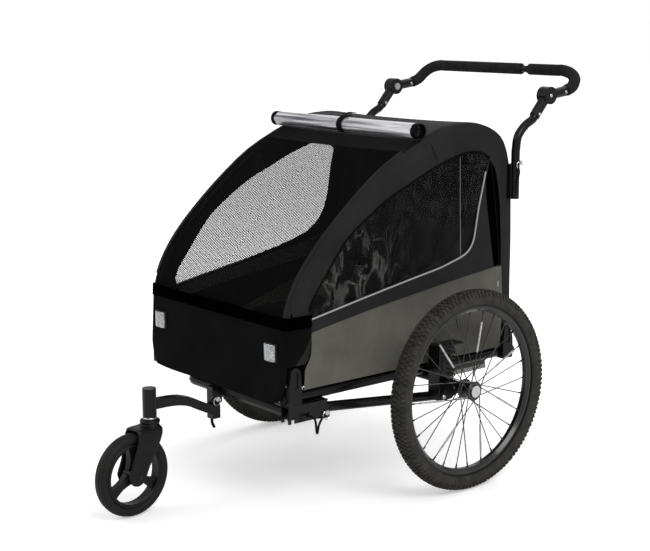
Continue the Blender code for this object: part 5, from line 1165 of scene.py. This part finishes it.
# %% Seat cushion
floor_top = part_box("floor")[1][2]
seat_low, seat_high = box_of("seat")
SEAT_ROOM = 0.010
OFF_FLOOR = 0.0005
cushion = soft_box(seat_low + Vector((SEAT_ROOM, SEAT_ROOM, 0.002)),
                   seat_high - Vector((SEAT_ROOM, SEAT_ROOM, 0.014)), 0.016, 3)
cushion.name = "seat_cushion"
puffed(cushion, 0.013)
apply_step(cushion, "SUBSURF", levels=1, render_levels=1)
pressed(cushion, [(0, 0.0), (1, seat_low.y + 0.075)], 0.008, 0.006,
        lambda co: max(0.0, min(1.0, (co.z - seat_high.z + 0.045) / 0.02)))
for vertex in cushion.data.vertices:
    vertex.co.z = min(max(vertex.co.z, floor_top + OFF_FLOOR), seat_high.z)
    for axis in (0, 1):
        vertex.co[axis] = min(max(vertex.co[axis], seat_low[axis]), seat_high[axis])
dressed(cushion, "seat_cushion", seat_cloth, "base", ["seat"], 60)
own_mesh(cushion)

# %% Seat back
BACK_FOOT_Y, BACK_TOP_Y, BACK_TOP_Z = 0.036, 0.168, 0.790
BACK_THICK = 0.014
back_rise = Vector((0, BACK_TOP_Y - BACK_FOOT_Y, BACK_TOP_Z - floor_top))
back_slope = math.atan2(back_rise.z, back_rise.y)
back_place = Matrix.Translation(spot(0, BACK_FOOT_Y + BACK_THICK, floor_top - 0.0018)) @ Matrix.Rotation(
    back_slope, 4, "X")
back_tall = back_rise.length
back_half = seat_high.x
backrest = soft_box((-back_half + 0.009, 0.010, 0.005), (back_half - 0.009, back_tall - 0.009, 0.019), 0.006)
backrest.name = "seat_backrest"
puffed(backrest, 0.009)
apply_step(backrest, "SUBSURF", levels=1, render_levels=1)
pressed(backrest, [(0, 0.0), (1, 0.19), (1, 0.345)], 0.006, 0.006,
        lambda co: max(0.0, min(1.0, (co.z - 0.013) / 0.006)))
backrest.data.transform(back_place)
for vertex in backrest.data.vertices:
    vertex.co.z = max(vertex.co.z, floor_top + OFF_FLOOR)
dressed(backrest, "seat_backrest", seat_cloth, "base", ["seat_back"], 60)
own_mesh(backrest)
print("seat", len(cushion.data.polygons), "faces, back", len(backrest.data.polygons), "faces")

# %% [markdown]
# ## Harness
#
# Each child has two shoulder straps, a crotch strap and a buckle, and one broad band runs across
# the back to hold the shoulder straps. Webbing is woven flat and keeps its width, so each strap is
# a thin strip whose middle line is dropped on the pads, point by point.

# %% Straps laid on the pads, and the buckles
back_turn = back_place.to_3x3()
back_front = back_turn @ Vector((0, 0, 1))


WEBBING_LIFT = 0.0012


def on_back(x, up):
    """The point of the back's front face at a place across and up it."""
    met = touching(backrest, back_place @ Vector((x, up, 0.12)), -back_front)
    return (met or back_place @ Vector((x, up, 0.024))) + back_front * WEBBING_LIFT


def on_seat(x, y):
    """The point of the cushion's top at a place in plan."""
    met = touching(cushion, spot(x, y, 0.6), (0, 0, -1))
    return (met or spot(x, y, seat_high.z)) + Vector((0, 0, WEBBING_LIFT))


def back_strap(name, line, wide):
    """Webbing laid along (across, up) points of the back."""
    dense = curve_through([(x, up, 0) for x, up in line], 6)
    places = [on_back(x, up) for x, up, _ in dense]
    ways = []
    for k in range(len(dense)):
        a, b = Vector(dense[max(0, k - 1)]), Vector(dense[min(len(dense) - 1, k + 1)])
        along = (b - a).normalized()
        ways.append(back_turn @ Vector((along.y, -along.x, 0)) * wide)
    return strap_along(name, places, ways, 0.0014, webbing, "base")


harness = [back_strap("harness_band", [(x, 0.435) for x in np.linspace(-0.222, 0.222, 9)], 0.030)]
for place, x in (("left", 0.100), ("right", -0.100)):
    for part, s in (("outer", 1.0), ("inner", -1.0)):
        harness.append(back_strap(f"shoulder_strap_{place}_{part}", [
            (x + s * 0.066, 0.430), (x + s * 0.062, 0.36), (x + s * 0.054, 0.27), (x + s * 0.034, 0.20),
            (x + s * 0.012, 0.165)], 0.024))
    run = [on_seat(x, y) for y in np.linspace(-0.150, 0.004, 9)] + [on_back(x, 0.125), on_back(x, 0.140)]
    harness.append(strap_along(f"crotch_strap_{place}", run, [(0.028, 0, 0)] * len(run), -0.0014, webbing,
                               "base"))
    shell = soft_box((-0.021, -0.026, 0.0), (0.021, 0.026, 0.012), 0.004, 3)
    press = soft_box((-0.012, -0.009, 0.009), (0.012, 0.011, 0.0145), 0.0022, 3)
    buckle = joined(f"harness_buckle_{place}", [shell, press])
    buckle.data.transform(Matrix.Translation(on_back(x, 0.152) + back_front * 0.001) @ back_turn.to_4x4())
    harness.append(dressed(buckle, f"harness_buckle_{place}", nylon, "base"))
for piece in harness:
    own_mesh(piece)
print("harness pieces", len(harness))

# %% [markdown]
# The floor is one cloth stretched in the frame's opening. It sags by less than a millimetre, in the
# shallow waves that feet leave.

# %% Floor cloth
FLOOR_HALF, FLOOR_FRONT_Y, FLOOR_REAR_Y = 0.2395, -0.461, 0.2345


def floor_height(x, y):
    """Height of the cloth's top, just under the plain floor's."""
    return floor_top - 0.0002 - 0.0005 * (1 + math.sin(23 * x + 9 * y) * math.cos(31 * y))


floor_rows = [[tuple(spot(x, y, floor_height(x, y))) for x in np.linspace(FLOOR_HALF, -FLOOR_HALF, 36)]
              for y in np.linspace(FLOOR_REAR_Y, FLOOR_FRONT_Y, 60)]
floor_cloth = grid_sheet("floor_cloth", floor_rows, CLOTH_WALL)
dressed(floor_cloth, "floor_cloth", shaded_black_cloth, "base", ["floor"], 60)
cut_from(floor_cloth)

# %% [markdown]
# ## Rear wheels
#
# A twenty-inch wheel: a knobbly tyre on a black box rim, twenty-eight black spokes laced across
# each other, and a flanged hub with a silver release cap. The tyre starts as a torus. Every second
# face of its crown is inset and raised, row by row in a stagger, as the knobs of the real tread.

# %% Tyre with raised knobs
TYRE_RADIUS = (tyre_high[2] - tyre_low[2]) / 2
TYRE_HALF = (tyre_high[0] - tyre_low[0]) / 2
RIM_OUTER = 0.2105
RIM_INNER = 0.1960
RIM_HALF = 0.0120
WHEEL_X = (tyre_low[0] + tyre_high[0]) / 2
KNOB_TALL = 0.0038
TREAD_COLUMNS = 272          # a knob on every second one: knobs are 11.5 mm apart
TREAD_ROWS = 20


def knobbly_tyre(centre):
    """A torus squeezed to a tyre's section, its crown faces raised into knobs."""
    body_radius = TYRE_RADIUS - KNOB_TALL
    minor = (body_radius - RIM_OUTER + 0.002) / 2
    major = body_radius - minor
    bpy.ops.mesh.primitive_torus_add(major_segments=TREAD_COLUMNS, minor_segments=TREAD_ROWS,
                                     major_radius=major, minor_radius=minor, location=centre,
                                     rotation=(0, math.pi / 2, 0))
    tyre = settle(bpy.context.object)
    mesh = tyre.data
    crown = []
    for face in mesh.polygons:
        out = face.center - centre
        turn = (math.atan2(out.z, out.y) / (2 * math.pi) + 1) * TREAD_COLUMNS
        tilt = math.degrees(math.atan2(abs(out.x), math.hypot(out.y, out.z) - major))
        crown.append((int(turn) % TREAD_COLUMNS, tilt))
    for vertex in mesh.vertices:
        out = Vector(vertex.co) - centre
        up = (math.hypot(out.y, out.z) - major) / minor
        vertex.co.x = centre.x + out.x * TYRE_HALF / minor * 0.965 * (1 + 0.10 * max(0.0, up))
    chosen = []
    for low, high, phase, tall, single in ((0, 18, 0, KNOB_TALL, False), (18, 36, 1, KNOB_TALL, True),
                                           (36, 70, 0, 0.9 * KNOB_TALL, False)):
        chosen.append(([k for k, (column, tilt) in enumerate(crown)
                        if low <= tilt < high and column % 2 == phase], tall, single))
    for faces, tall, single in chosen:                  # inset and raised, one row of knobs after the other
        alone(tyre)
        bpy.ops.object.mode_set(mode="EDIT")
        bpy.ops.mesh.select_mode(type="FACE")
        bpy.ops.mesh.select_all(action="DESELECT")
        bpy.ops.object.mode_set(mode="OBJECT")
        marked = np.zeros(len(mesh.polygons), dtype=bool)
        marked[faces] = True
        mesh.polygons.foreach_set("select", marked)
        bpy.ops.object.mode_set(mode="EDIT")
        bpy.ops.mesh.inset(thickness=0.0006, depth=tall, use_individual=single)
        bpy.ops.mesh.select_all(action="DESELECT")
        bpy.ops.mesh.select_mode(type="VERT")
        bpy.ops.object.mode_set(mode="OBJECT")
    for face in mesh.polygons:
        out = face.center - centre
        squeezed = out.x * minor / (TYRE_HALF * 0.965)
        height = math.hypot(squeezed, math.hypot(out.y, out.z) - major) - minor
        face.material_index = 0 if height > 0.6 * KNOB_TALL else 1
    return tyre


def rim_profile():
    """Section of the box rim: hooked edges, a sloping wall and a narrow crown."""
    half = [(RIM_OUTER, RIM_HALF), (RIM_OUTER - 0.0015, RIM_HALF + 0.0008),
            (RIM_OUTER - 0.0075, RIM_HALF + 0.0004), (RIM_INNER + 0.0035, 0.72 * RIM_HALF),
            (RIM_INNER, 0.42 * RIM_HALF)]
    return mirrored(half, [(RIM_INNER - 0.0004, 0.0)])


# %% Rim, hub, spokes and their reflector sleeves
SPOKES = 28
SPOKE_SWEEP = math.radians(46)
SPOKE_RADIUS = 0.0013
HUB_HALF = 0.0190
FLANGE = 0.0240
HUB_CORE, AXLE_HOLE, CAP_HOLE, CAP_FLOOR = 0.0160, 0.0066, 0.0152, 0.0146
VALVE_TURN = math.radians(-14)
NIPPLE_IN, SLEEVE_IN, VALVE_IN = 0.0125, 0.103, 0.033        # where they start, in from the rim
SLEEVES = range(1, SPOKES, 4)


def spoke_ends(k):
    """Where a spoke starts on its flange and ends at the rim, from the wheel's middle."""
    face = 1 if k % 2 else -1
    lead = 1 if (k // 2) % 2 else -1
    at_rim = 2 * math.pi * k / SPOKES
    at_hub = at_rim + lead * SPOKE_SWEEP
    hub_r, rim_r = FLANGE - 0.0035, RIM_INNER + 0.001
    start = Vector((face * (HUB_HALF - 0.0025 - 0.0012 * lead), hub_r * math.sin(at_hub),
                    hub_r * math.cos(at_hub)))
    end = Vector((face * 0.0015, rim_r * math.sin(at_rim), rim_r * math.cos(at_rim)))
    return start, end


def turned_up(name, line, steps):
    """A turned shape that stands on the origin, to be copied."""
    return spun(name, line, (0, 0, 0), (0, 0, 1), steps)


def made_spoke():
    """One spoke along Z: a wire with an elbow at the hub and a nipple at the rim, 1 m long."""
    wire = tube("wire", [(0.0022, 0, 0.0), (0.0006, 0, 0.0009), (0, 0, 0.004), (0, 0, 0.5), (0, 0, 1.0)],
                SPOKE_RADIUS, round_steps=1)
    nipple_line = ((0.9, 0.0), (1.5, 0.0005), (1.8, 0.009), (2.4, 0.0125), (0.9, 0.013))
    return wire, turned_up("nipple", [(SPOKE_RADIUS * share, d) for share, d in nipple_line], 10)


def along_line(start, way):
    """The matrix that stands a piece made along Z on a point, turned to a way."""
    return Matrix.Translation(start) @ Vector(way).to_track_quat("Z", "Y").to_matrix().to_4x4()


wire_master, nipple_master = made_spoke()
sleeve_master = turned_up("sleeve", [(0.0012, 0.0), (0.0021, 0.0004), (0.0025, 0.0020), (0.0025, 0.0730),
                                     (0.0021, 0.0746), (0.0012, 0.0750)], 12)
valve_master = turned_up("valve", [(0.0004, 0.0), (0.0021, 0.0003), (0.0023, 0.008), (0.0030, 0.0085),
                                   (0.0030, 0.020), (0.0042, 0.0305), (0.0048, 0.034), (0.0004, 0.034)], 14)
for side, s in SIDES:
    centre = spot(s * WHEEL_X, 0, TYRE_RADIUS)
    body = f"wheel_{side}"
    tyre = knobbly_tyre(centre)
    dressed(tyre, f"tyre_{side}_knobbly", tread_rubber, body, [f"tyre_{side}"], 30)
    tyre.data.materials.append(wall_rubber)
    rim = spun("rim", rim_profile(), centre, (1, 0, 0), 128)
    flange = [(FLANGE - 0.0010, -HUB_HALF), (FLANGE, -HUB_HALF + 0.0010), (FLANGE, -HUB_HALF + 0.0040),
              (FLANGE - 0.0010, -HUB_HALF + 0.0050), (0.0185, -HUB_HALF + 0.0062), (HUB_CORE, -0.5 * HUB_HALF)]
    hub_line = [(AXLE_HOLE, -HUB_HALF), *mirrored(flange), (CAP_HOLE, HUB_HALF), (CAP_HOLE, CAP_FLOOR),
                (AXLE_HOLE, CAP_FLOOR)]
    hub = spun("hub", hub_line, centre, (s, 0, 0), 48)
    parts = [rim, hub]
    sleeves = []
    for k in range(SPOKES):
        start, end = spoke_ends(k)
        way = (end - start).normalized()
        long = (end - start).length
        stretch = Matrix.Diagonal((1, 1, long, 1))
        parts.append(copied(wire_master, along_line(centre + start, way) @ stretch))
        parts.append(copied(nipple_master, along_line(centre + end - way * NIPPLE_IN, way)))
        if k in SLEEVES:
            sleeves.append(copied(sleeve_master, along_line(centre + start + way * (long - SLEEVE_IN), way)))
    valve = Vector((0, math.sin(VALVE_TURN), math.cos(VALVE_TURN)))
    parts.append(copied(valve_master, along_line(centre + valve * (RIM_INNER - VALVE_IN), valve)))
    wheel = joined(f"wheel_{side}_laced", parts)
    dressed(wheel, f"wheel_{side}_laced", rim_black, body, [f"wheel_{side}_rim"], 35)
    sleeved = joined(f"spoke_sleeves_{side}", sleeves)
    dressed(sleeved, f"spoke_sleeves_{side}", sleeve_tape, body)
    bead_line = [(RIM_OUTER + 0.0012, RIM_HALF - 0.004), (RIM_OUTER + 0.0004, RIM_HALF + 0.0016),
                 (RIM_OUTER + 0.0060, RIM_HALF + 0.0050), (RIM_OUTER + 0.0085, RIM_HALF + 0.0046)]
    bead = spun(f"tyre_bead_{side}", mirrored(bead_line), centre, (1, 0, 0), 128)
    dressed(bead, f"tyre_bead_{side}", wall_rubber, body)
for pattern in (wire_master, nipple_master, sleeve_master, valve_master):
    drop(pattern)
print("wheels laced, spokes", 2 * SPOKES)

# %% [markdown]
# ## Caster wheel
#
# The front wheel is a solid rubber tyre on a moulded three-spoke wheel. Both are turned shapes, so
# a section is drawn once and spun; the spokes are blocks, waisted in the middle, at three turns.

# %% Caster tyre and wheel
caster_low, caster_high = box_of("caster_tyre")
CASTER_RADIUS, CASTER_HALF = 0.0995, 0.017
CASTER_TREAD_INNER, CASTER_RING_INNER, CASTER_HUB = 0.078, 0.069, 0.016
CASTER_AXLE, CASTER_HUB_HALF, CASTER_RING_HALF = 0.0046, 0.0168, 0.0140
SWIVEL = math.radians(5.7)
caster_mid = (caster_low + caster_high) / 2
caster_mid.z = CASTER_RADIUS
caster_axis = Vector((math.cos(SWIVEL), math.sin(SWIVEL), 0))
shoulder = [(CASTER_TREAD_INNER, 0.76), (CASTER_TREAD_INNER + 0.003, 0.92), (CASTER_RADIUS - 0.012, 1.0),
            (CASTER_RADIUS - 0.006, 0.93), (CASTER_RADIUS - 0.0032, 0.76), (CASTER_RADIUS - 0.0046, 0.70),
            (CASTER_RADIUS - 0.0022, 0.64), (CASTER_RADIUS - 0.0010, 0.36), (CASTER_RADIUS - 0.0028, 0.30),
            (CASTER_RADIUS - 0.0004, 0.24), (CASTER_RADIUS, 0.05)]
tyre_line = [(r, share * CASTER_HALF) for r, share in shoulder]
caster_tyre = spun("caster_tyre_turned", mirrored(tyre_line), caster_mid, caster_axis, 96)
dressed(caster_tyre, "caster_tyre_turned", wall_rubber, "caster_wheel", ["caster_tyre"], 35)
ring_line = mirrored([(CASTER_RING_INNER, 0.0125), (CASTER_RING_INNER + 0.0015, CASTER_RING_HALF),
                      (CASTER_TREAD_INNER - 0.0015, CASTER_RING_HALF), (CASTER_TREAD_INNER - 0.0002, 0.0128)])
ring = spun("ring", [*ring_line, (CASTER_RING_INNER + 0.0012, 0.0)], caster_mid, caster_axis, 96)
hub = spun("hub", mirrored([(CASTER_AXLE, CASTER_HUB_HALF), (CASTER_HUB - 0.002, CASTER_HUB_HALF),
                            (CASTER_HUB, 0.0150)]), caster_mid, caster_axis, 40)
caster_parts = [ring, hub]
upright = Matrix((caster_axis, caster_axis.cross(Vector((0, 0, 1))) * -1, (0, 0, 1))).transposed().to_4x4()
for turn in (0, 120, 240):
    bpy.ops.mesh.primitive_cube_add(size=1, location=(0, 0, (CASTER_HUB + CASTER_RING_INNER) / 2),
                                    scale=(0.016, 0.028, CASTER_RING_INNER - CASTER_HUB + 0.003))
    arm = edited(settle(bpy.context.object), ("subdivide", {"number_cuts": 5}))
    for vertex in arm.data.vertices:
        along = (vertex.co.z - CASTER_HUB) / (CASTER_RING_INNER - CASTER_HUB)
        waist = 1 - 0.36 * math.sin(math.pi * min(1.0, max(0.0, along)))
        vertex.co.y *= waist
        vertex.co.x *= 1 - 0.25 * max(0.0, 1 - abs(vertex.co.y) / 0.007)      # a hollow down its middle
    arm.data.transform(Matrix.Translation(caster_mid) @ upright
                       @ Matrix.Rotation(math.radians(turn), 4, "X"))
    caster_parts.append(arm)
caster_wheel = joined("caster_wheel_moulded", caster_parts)
dressed(caster_wheel, "caster_wheel_moulded", nylon, "caster_wheel", ["caster_rim"], 40)
print("caster turned")

# %% [markdown]
# The fork is one moulding with round shoulders. Its plain solid has the right legs and the right
# gap for the tyre, so it is kept as the start: rebuilt in even cells and then smoothed, most at the
# shoulders and hardly at all on the legs, as clay is with a wet finger.

# %% Fork with round shoulders
SHOULDER_LOW, SHOULDER_HIGH, LEG_SHARE = 0.150, 0.178, 0.12    # the legs are smoothed an eighth as much
SWELL_Z, SWELL_HALF, SWELL = 0.182, 0.022, 0.10                # the crown swells by a tenth
CASTER_ROOM, CASTER_RIM_ZONE = 0.0024, 0.010
fork = edited(copied(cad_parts["fork"], Matrix.Identity(4)), MERGED)
apply_step(fork, "REMESH", mode="VOXEL", voxel_size=0.0028)
crown_group = fork.vertex_groups.new(name="shoulders")
for vertex in fork.data.vertices:
    up = min(1.0, max(0.0, (vertex.co.z - SHOULDER_LOW) / (SHOULDER_HIGH - SHOULDER_LOW)))
    crown_group.add([vertex.index], LEG_SHARE + (1 - LEG_SHARE) * up, "REPLACE")
apply_step(fork, "SMOOTH", factor=0.6, iterations=26, vertex_group="shoulders")
for vertex in fork.data.vertices:
    vertex.co.x *= 1 + SWELL * math.exp(-((vertex.co.z - SWELL_Z) / SWELL_HALF) ** 2)
for vertex in fork.data.vertices:
    from_mid = vertex.co - caster_mid
    across = from_mid.dot(caster_axis)
    outward = from_mid - across * caster_axis
    room = CASTER_RADIUS + CASTER_ROOM - outward.length
    if abs(across) < CASTER_HALF + 0.5 * CASTER_ROOM and 0 < room < CASTER_RIM_ZONE:
        vertex.co += outward.normalized() * room          # the crown stays off the tyre
dressed(fork, "fork_moulded", nylon, "swivel_fork", ["fork"], 60)
print("fork smoothed,", len(fork.data.polygons), "faces")

# %% [markdown]
# Between the fork and the jogger arm's block sit a collar that turns with the fork and, on it, the
# plated ring of the bearing.

# %% Collar and bearing ring
COLLAR_FOOT, RING_FOOT, STEER_Y = 0.2130, 0.2233, -0.681
COLLAR = [(0.0120, 0), (0.0225, 0), (0.0238, 0.0020), (0.0238, 0.0060), (0.0225, 0.0085),
          (0.0195, 0.0095), (0.0120, 0.0095)]
BEARING = [(0.0146, 0), (0.0160, 0), (0.0168, 0.0012), (0.0168, 0.0030), (0.0160, 0.0042), (0.0146, 0.0042)]
for name, line, foot, finish, slot, body in (
        ("fork_collar", COLLAR, COLLAR_FOOT, nylon, "black_plastic", "swivel_fork"),
        ("bearing_ring", BEARING, RING_FOOT, zinc_plate, "bare_steel", "base")):
    dressed(spun(name, line, spot(0, STEER_Y, foot), (0, 0, 1), 40), name, finish, body, (), 50)
print("collar", round(RING_FOOT - COLLAR_FOOT, 4), "m below the ring")

# %% [markdown]
# ## Handlebar, posts and foam grips
#
# The push bar is one bent tube between two tilting joints, with foam on its middle. Drawing it on
# one smooth line gives the long even highlight of a real bent tube.

# %% Posts, bar and grips
POST_X, POST_Y, POST_RADIUS = 0.290, 0.2385, 0.011
POST_BOTTOM_Z, POST_BEND_Z = 0.690, 0.812
HUB_Y, HUB_Z = 0.350, 0.947
LOW_LUG, HIGH_LUG = (-0.040, -0.045), (0.059, 0.007)
LUG_RADIUS = 0.0135
BAR_Y, BAR_Z, BAR_RADIUS = 0.478, 1.004, 0.0095
FOAM_RADIUS, FOAM_START, FOAM_GAP_X, FOAM_GAP = 0.0152, 0.005, 0.100, 0.026
BAR_STRAIGHT_X = 0.215
HUB_DISC = 0.0225
low_way, high_way = Vector(LOW_LUG).normalized(), Vector(HIGH_LUG).normalized()


def from_hub(way, distance):
    """A (y, z) point on a lug's axis."""
    return (HUB_Y + way[0] * distance, HUB_Z + way[1] * distance)


tube_stop = HUB_DISC + 0.0127
lug_mouth = 0.6 * LUG_RADIUS
post_route = [(POST_Y, POST_BOTTOM_Z + 0.001), (POST_Y, 0.75), *curve_through(
    [(POST_Y, POST_BEND_Z), (POST_Y + 0.0070, POST_BEND_Z + 0.0360), (POST_Y + 0.0315, POST_BEND_Z + 0.0615),
     from_hub(low_way, Vector(LOW_LUG).length + 2.4 * lug_mouth),
     from_hub(low_way, Vector(LOW_LUG).length + 1.2 * lug_mouth)], 8), from_hub(low_way, tube_stop)]
for side, s in SIDES:
    post = tube(f"post_{side}_bent", [spot(s * POST_X, y, z) for y, z in post_route], POST_RADIUS,
                round_steps=6)
    dressed(post, f"post_{side}_bent", powder_coat, "handle_posts", [f"post_{side}"], 50)

BAR_BEND = ((0.001, 0.030, 0.0390), (0.008, 0.012, 0.0210), (0.028, 0.0035, 0.0070), (0.058, 0.0, 0.0))
bar_start = [(POST_X, *from_hub(high_way, d))
             for d in (tube_stop, Vector(HIGH_LUG).length + lug_mouth + FOAM_START)]
bar_bend = [(POST_X - back, BAR_Y - before, BAR_Z - below) for back, before, below in BAR_BEND]
bend_line = curve_through([bar_start[1], *bar_bend, (BAR_STRAIGHT_X, BAR_Y, BAR_Z)], 8)
half_bar = [bar_start[0], *bend_line, *[(x, BAR_Y, BAR_Z) for x in (0.16, 0.12, 0.06)]]
whole_bar = [*half_bar, *[(-x, y, z) for x, y, z in reversed(half_bar)]]
handlebar = tube("handlebar_bent", [spot(*p) for p in whole_bar], BAR_RADIUS, round_steps=6)
dressed(handlebar, "handlebar_bent", powder_coat, "handlebar_frame", ["handlebar"], 50)


def foam_grip(name, line):
    """A foam sleeve along points, with soft ends."""
    points = [spot(*p) for p in line]
    first, last = (points[1] - points[0]).normalized(), (points[-1] - points[-2]).normalized()
    eased = [(points[0], 0.80), (points[0] + first * 0.0012, 0.94), (points[0] + first * 0.0034, 1.0),
             *[(p, 1.0) for p in points[1:-1]],
             (points[-1] - last * 0.0034, 1.0), (points[-1] - last * 0.0012, 0.94), (points[-1], 0.80)]
    sleeve = line_curve(name, [place for place, share in eased], FOAM_RADIUS, round_steps=6)
    for knot, (place, share) in zip(sleeve.data.splines[0].points, eased):
        knot.radius = share
    alone(sleeve)
    bpy.ops.object.convert(target="MESH")
    return bpy.context.object


for side, s, inner in (("left", 1, (0.19, 0.15, FOAM_GAP_X + FOAM_GAP / 2)),
                       ("right", -1, (-0.15, -0.05, FOAM_GAP_X - FOAM_GAP / 2))):
    line = [*[(s * x, y, z) for x, y, z in bend_line], *[(x, BAR_Y, BAR_Z) for x in inner]]
    dressed(foam_grip(f"grip_{side}_foam", line), f"grip_{side}_foam", foam, "handlebar_frame",
            [f"grip_{side}"], 50)

# %% [markdown]
# Bolts are set on what they hold: a line from outside looks for the first face, and the head is put
# there. Each lug of the tilting joint has one on both sides, and the joint itself one outside.

# %% Lug bolts and the joint's screw
def bolted(name, body, places):
    """Plated heads made one piece; a place is (node, start of the line, its way, radius, height)."""
    heads = []
    for node_name, start, way, radius, high in places:
        met = touching(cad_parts[node_name], spot(*start), way)
        if met:
            heads.append(screw_head(met, -Vector(way), radius, high))
        else:
            print("no face for a bolt on", node_name)
    dressed(joined(name, heads), name, zinc_plate, body)


for part, body, lug in (("lower", "handle_posts", LOW_LUG), ("upper", "handlebar_frame", HIGH_LUG)):
    bolted(f"lug_bolts_{part}", body, [
        (f"hub_{part}_{side}", (s * POST_X + way * 0.06, HUB_Y + lug[0], HUB_Z + lug[1]), (-way, 0, 0),
         0.0040, 0.0020) for side, s in SIDES for way in (1.0, -1.0)])
bolted("joint_screws", "handle_posts", [(f"hub_lower_{side}", (s * (POST_X + 0.06), HUB_Y, HUB_Z), (-s, 0, 0),
                                         0.0045, 0.0024) for side, s in SIDES])
print("handle drawn, bar", round(line_length(whole_bar), 3), "m along its middle")

# %% [markdown]
# ## Small fittings
#
# What a maker bolts on last: plated bolts in the brackets and pivots, a grey flap that hangs from
# the floor behind each rail, and the cord that keeps the handle's pin. A bolt head is one turned
# shape. Each is set on the face that a line from outside meets first, so it touches what it holds.

# %% Plated bolts
PLATED = (("bracket_front", 0.268, -0.55, 0.3219, "y", 0.0030),
          ("bracket_rear", 0.35, 0.2440, 0.3460, "x", 0.0028),
          ("tower", 0.36, -0.060, 0.3520, "x", 0.0036), ("tower", 0.36, 0.000, 0.2300, "x", 0.0030))
plated = [("tow_receiver", (0.35, -0.4740, 0.2450), (-1, 0, 0), 0.0022, 0.6 * 0.0022)]
for side, s in SIDES:
    plated += [(f"{node_name}_{side}", (s * x, y, z), (-s, 0, 0) if axis == "x" else (0, 1, 0), radius,
                0.6 * radius) for node_name, x, y, z, axis, radius in PLATED]
    bolted(f"arm_bolts_{side}", f"swing_arm_{side}", [
        (f"swing_arm_{side}", (s * 0.40, y, z), (-s, 0, 0), radius, 0.0026)
        for y, z, radius in ((-0.050, 0.233, 0.0055), (-0.016, 0.250, 0.0030))])
bolted("plated_bolts", "base", plated)
print("bolts", len(plated))

# %% [markdown]
# A grey flap hangs from the floor beside each rail, and a pale hem weighs its lower edge.

# %% Flaps under the floor
FLAP = [(0.060, 0.3010), (0.184, 0.3010), (0.190, 0.2600), (0.066, 0.2600)]
FLAP_HEM = [(0.066, 0.2598), (0.190, 0.2598), (0.192, 0.2480), (0.068, 0.2480)]


def flap_relief(y, z):
    """One shallow wave along the flap, the same at every height."""
    return 0.0010 * math.sin(60 * y)


for side, s in SIDES:
    sewn(f"floor_flap_{side}", FLAP, s * 0.2462, 0.012, 0.0010, flap_relief, grey_cloth,
         "base", s)
    sewn(f"floor_flap_hem_{side}", FLAP_HEM, s * 0.2466, 0.012, 0.0016, flap_relief, pale_webbing,
         "base", s)

# %% [markdown]
# The pin in each post is tied to the post, so it can't be lost. The cord is thin and limp: it
# leaves the ring, drops and turns back to the foot of the post in one loose line.

# %% Handle pin cords
PIN_CORD_RADIUS = 0.0022
for side, s in SIDES:
    ring_low, ring_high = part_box(f"handle_pin_{side}")
    ring_x = s * max(abs(ring_low[0]), abs(ring_high[0])) - s * 0.0020
    knots = [(ring_x, 0.2330, 0.7700), (ring_x + s * 0.0010, 0.2350, 0.7600),
             (ring_x - s * 0.0010, 0.2325, 0.7450),
             (ring_x - s * 0.0030, 0.2290, 0.7290), (ring_x - s * 0.0050, 0.2300, 0.7160),
             (s * 0.3005, 0.2330, 0.7080)]
    cord_line = [tuple(spot(*p)) for p in curve_through(knots, 4)]
    cord = tube(f"pin_cord_{side}", cord_line, PIN_CORD_RADIUS, round_steps=3)
    dressed(cord, f"pin_cord_{side}", leash_weave, None)
    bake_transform(cord)
print("pin cords", round(line_length(cord_line) * 1000), "mm each")

# %% [markdown]
# ## Finishes of the solids that stay
#
# The frame, brackets, pins and springs keep the shapes that they were packed with. Each one
# takes the finish that its maker would give it.

# %% Finish by slot
FINISH_OF = {"black_steel": powder_coat, "black_plastic": nylon, "black_cloth": shaded_black_cloth,
             "grey_cloth": grey_cloth, "mesh_cloth": net_cloth, "clear_film": clear_film,
             "tyre_rubber": wall_rubber, "grip_foam": foam, "wheel_metal": rim_black,
             "bare_steel": zinc_plate, "grey_plastic": grey_nylon, "spring_steel": spring_wire}
for node_name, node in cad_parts.items():
    for place in node.material_slots:
        kind = place.material.name.split(".")[0]
        if kind in FINISH_OF:
            place.material = FINISH_OF[kind]
        else:
            print("no finish for", node_name, kind)
print("finished", len(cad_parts), "solids")
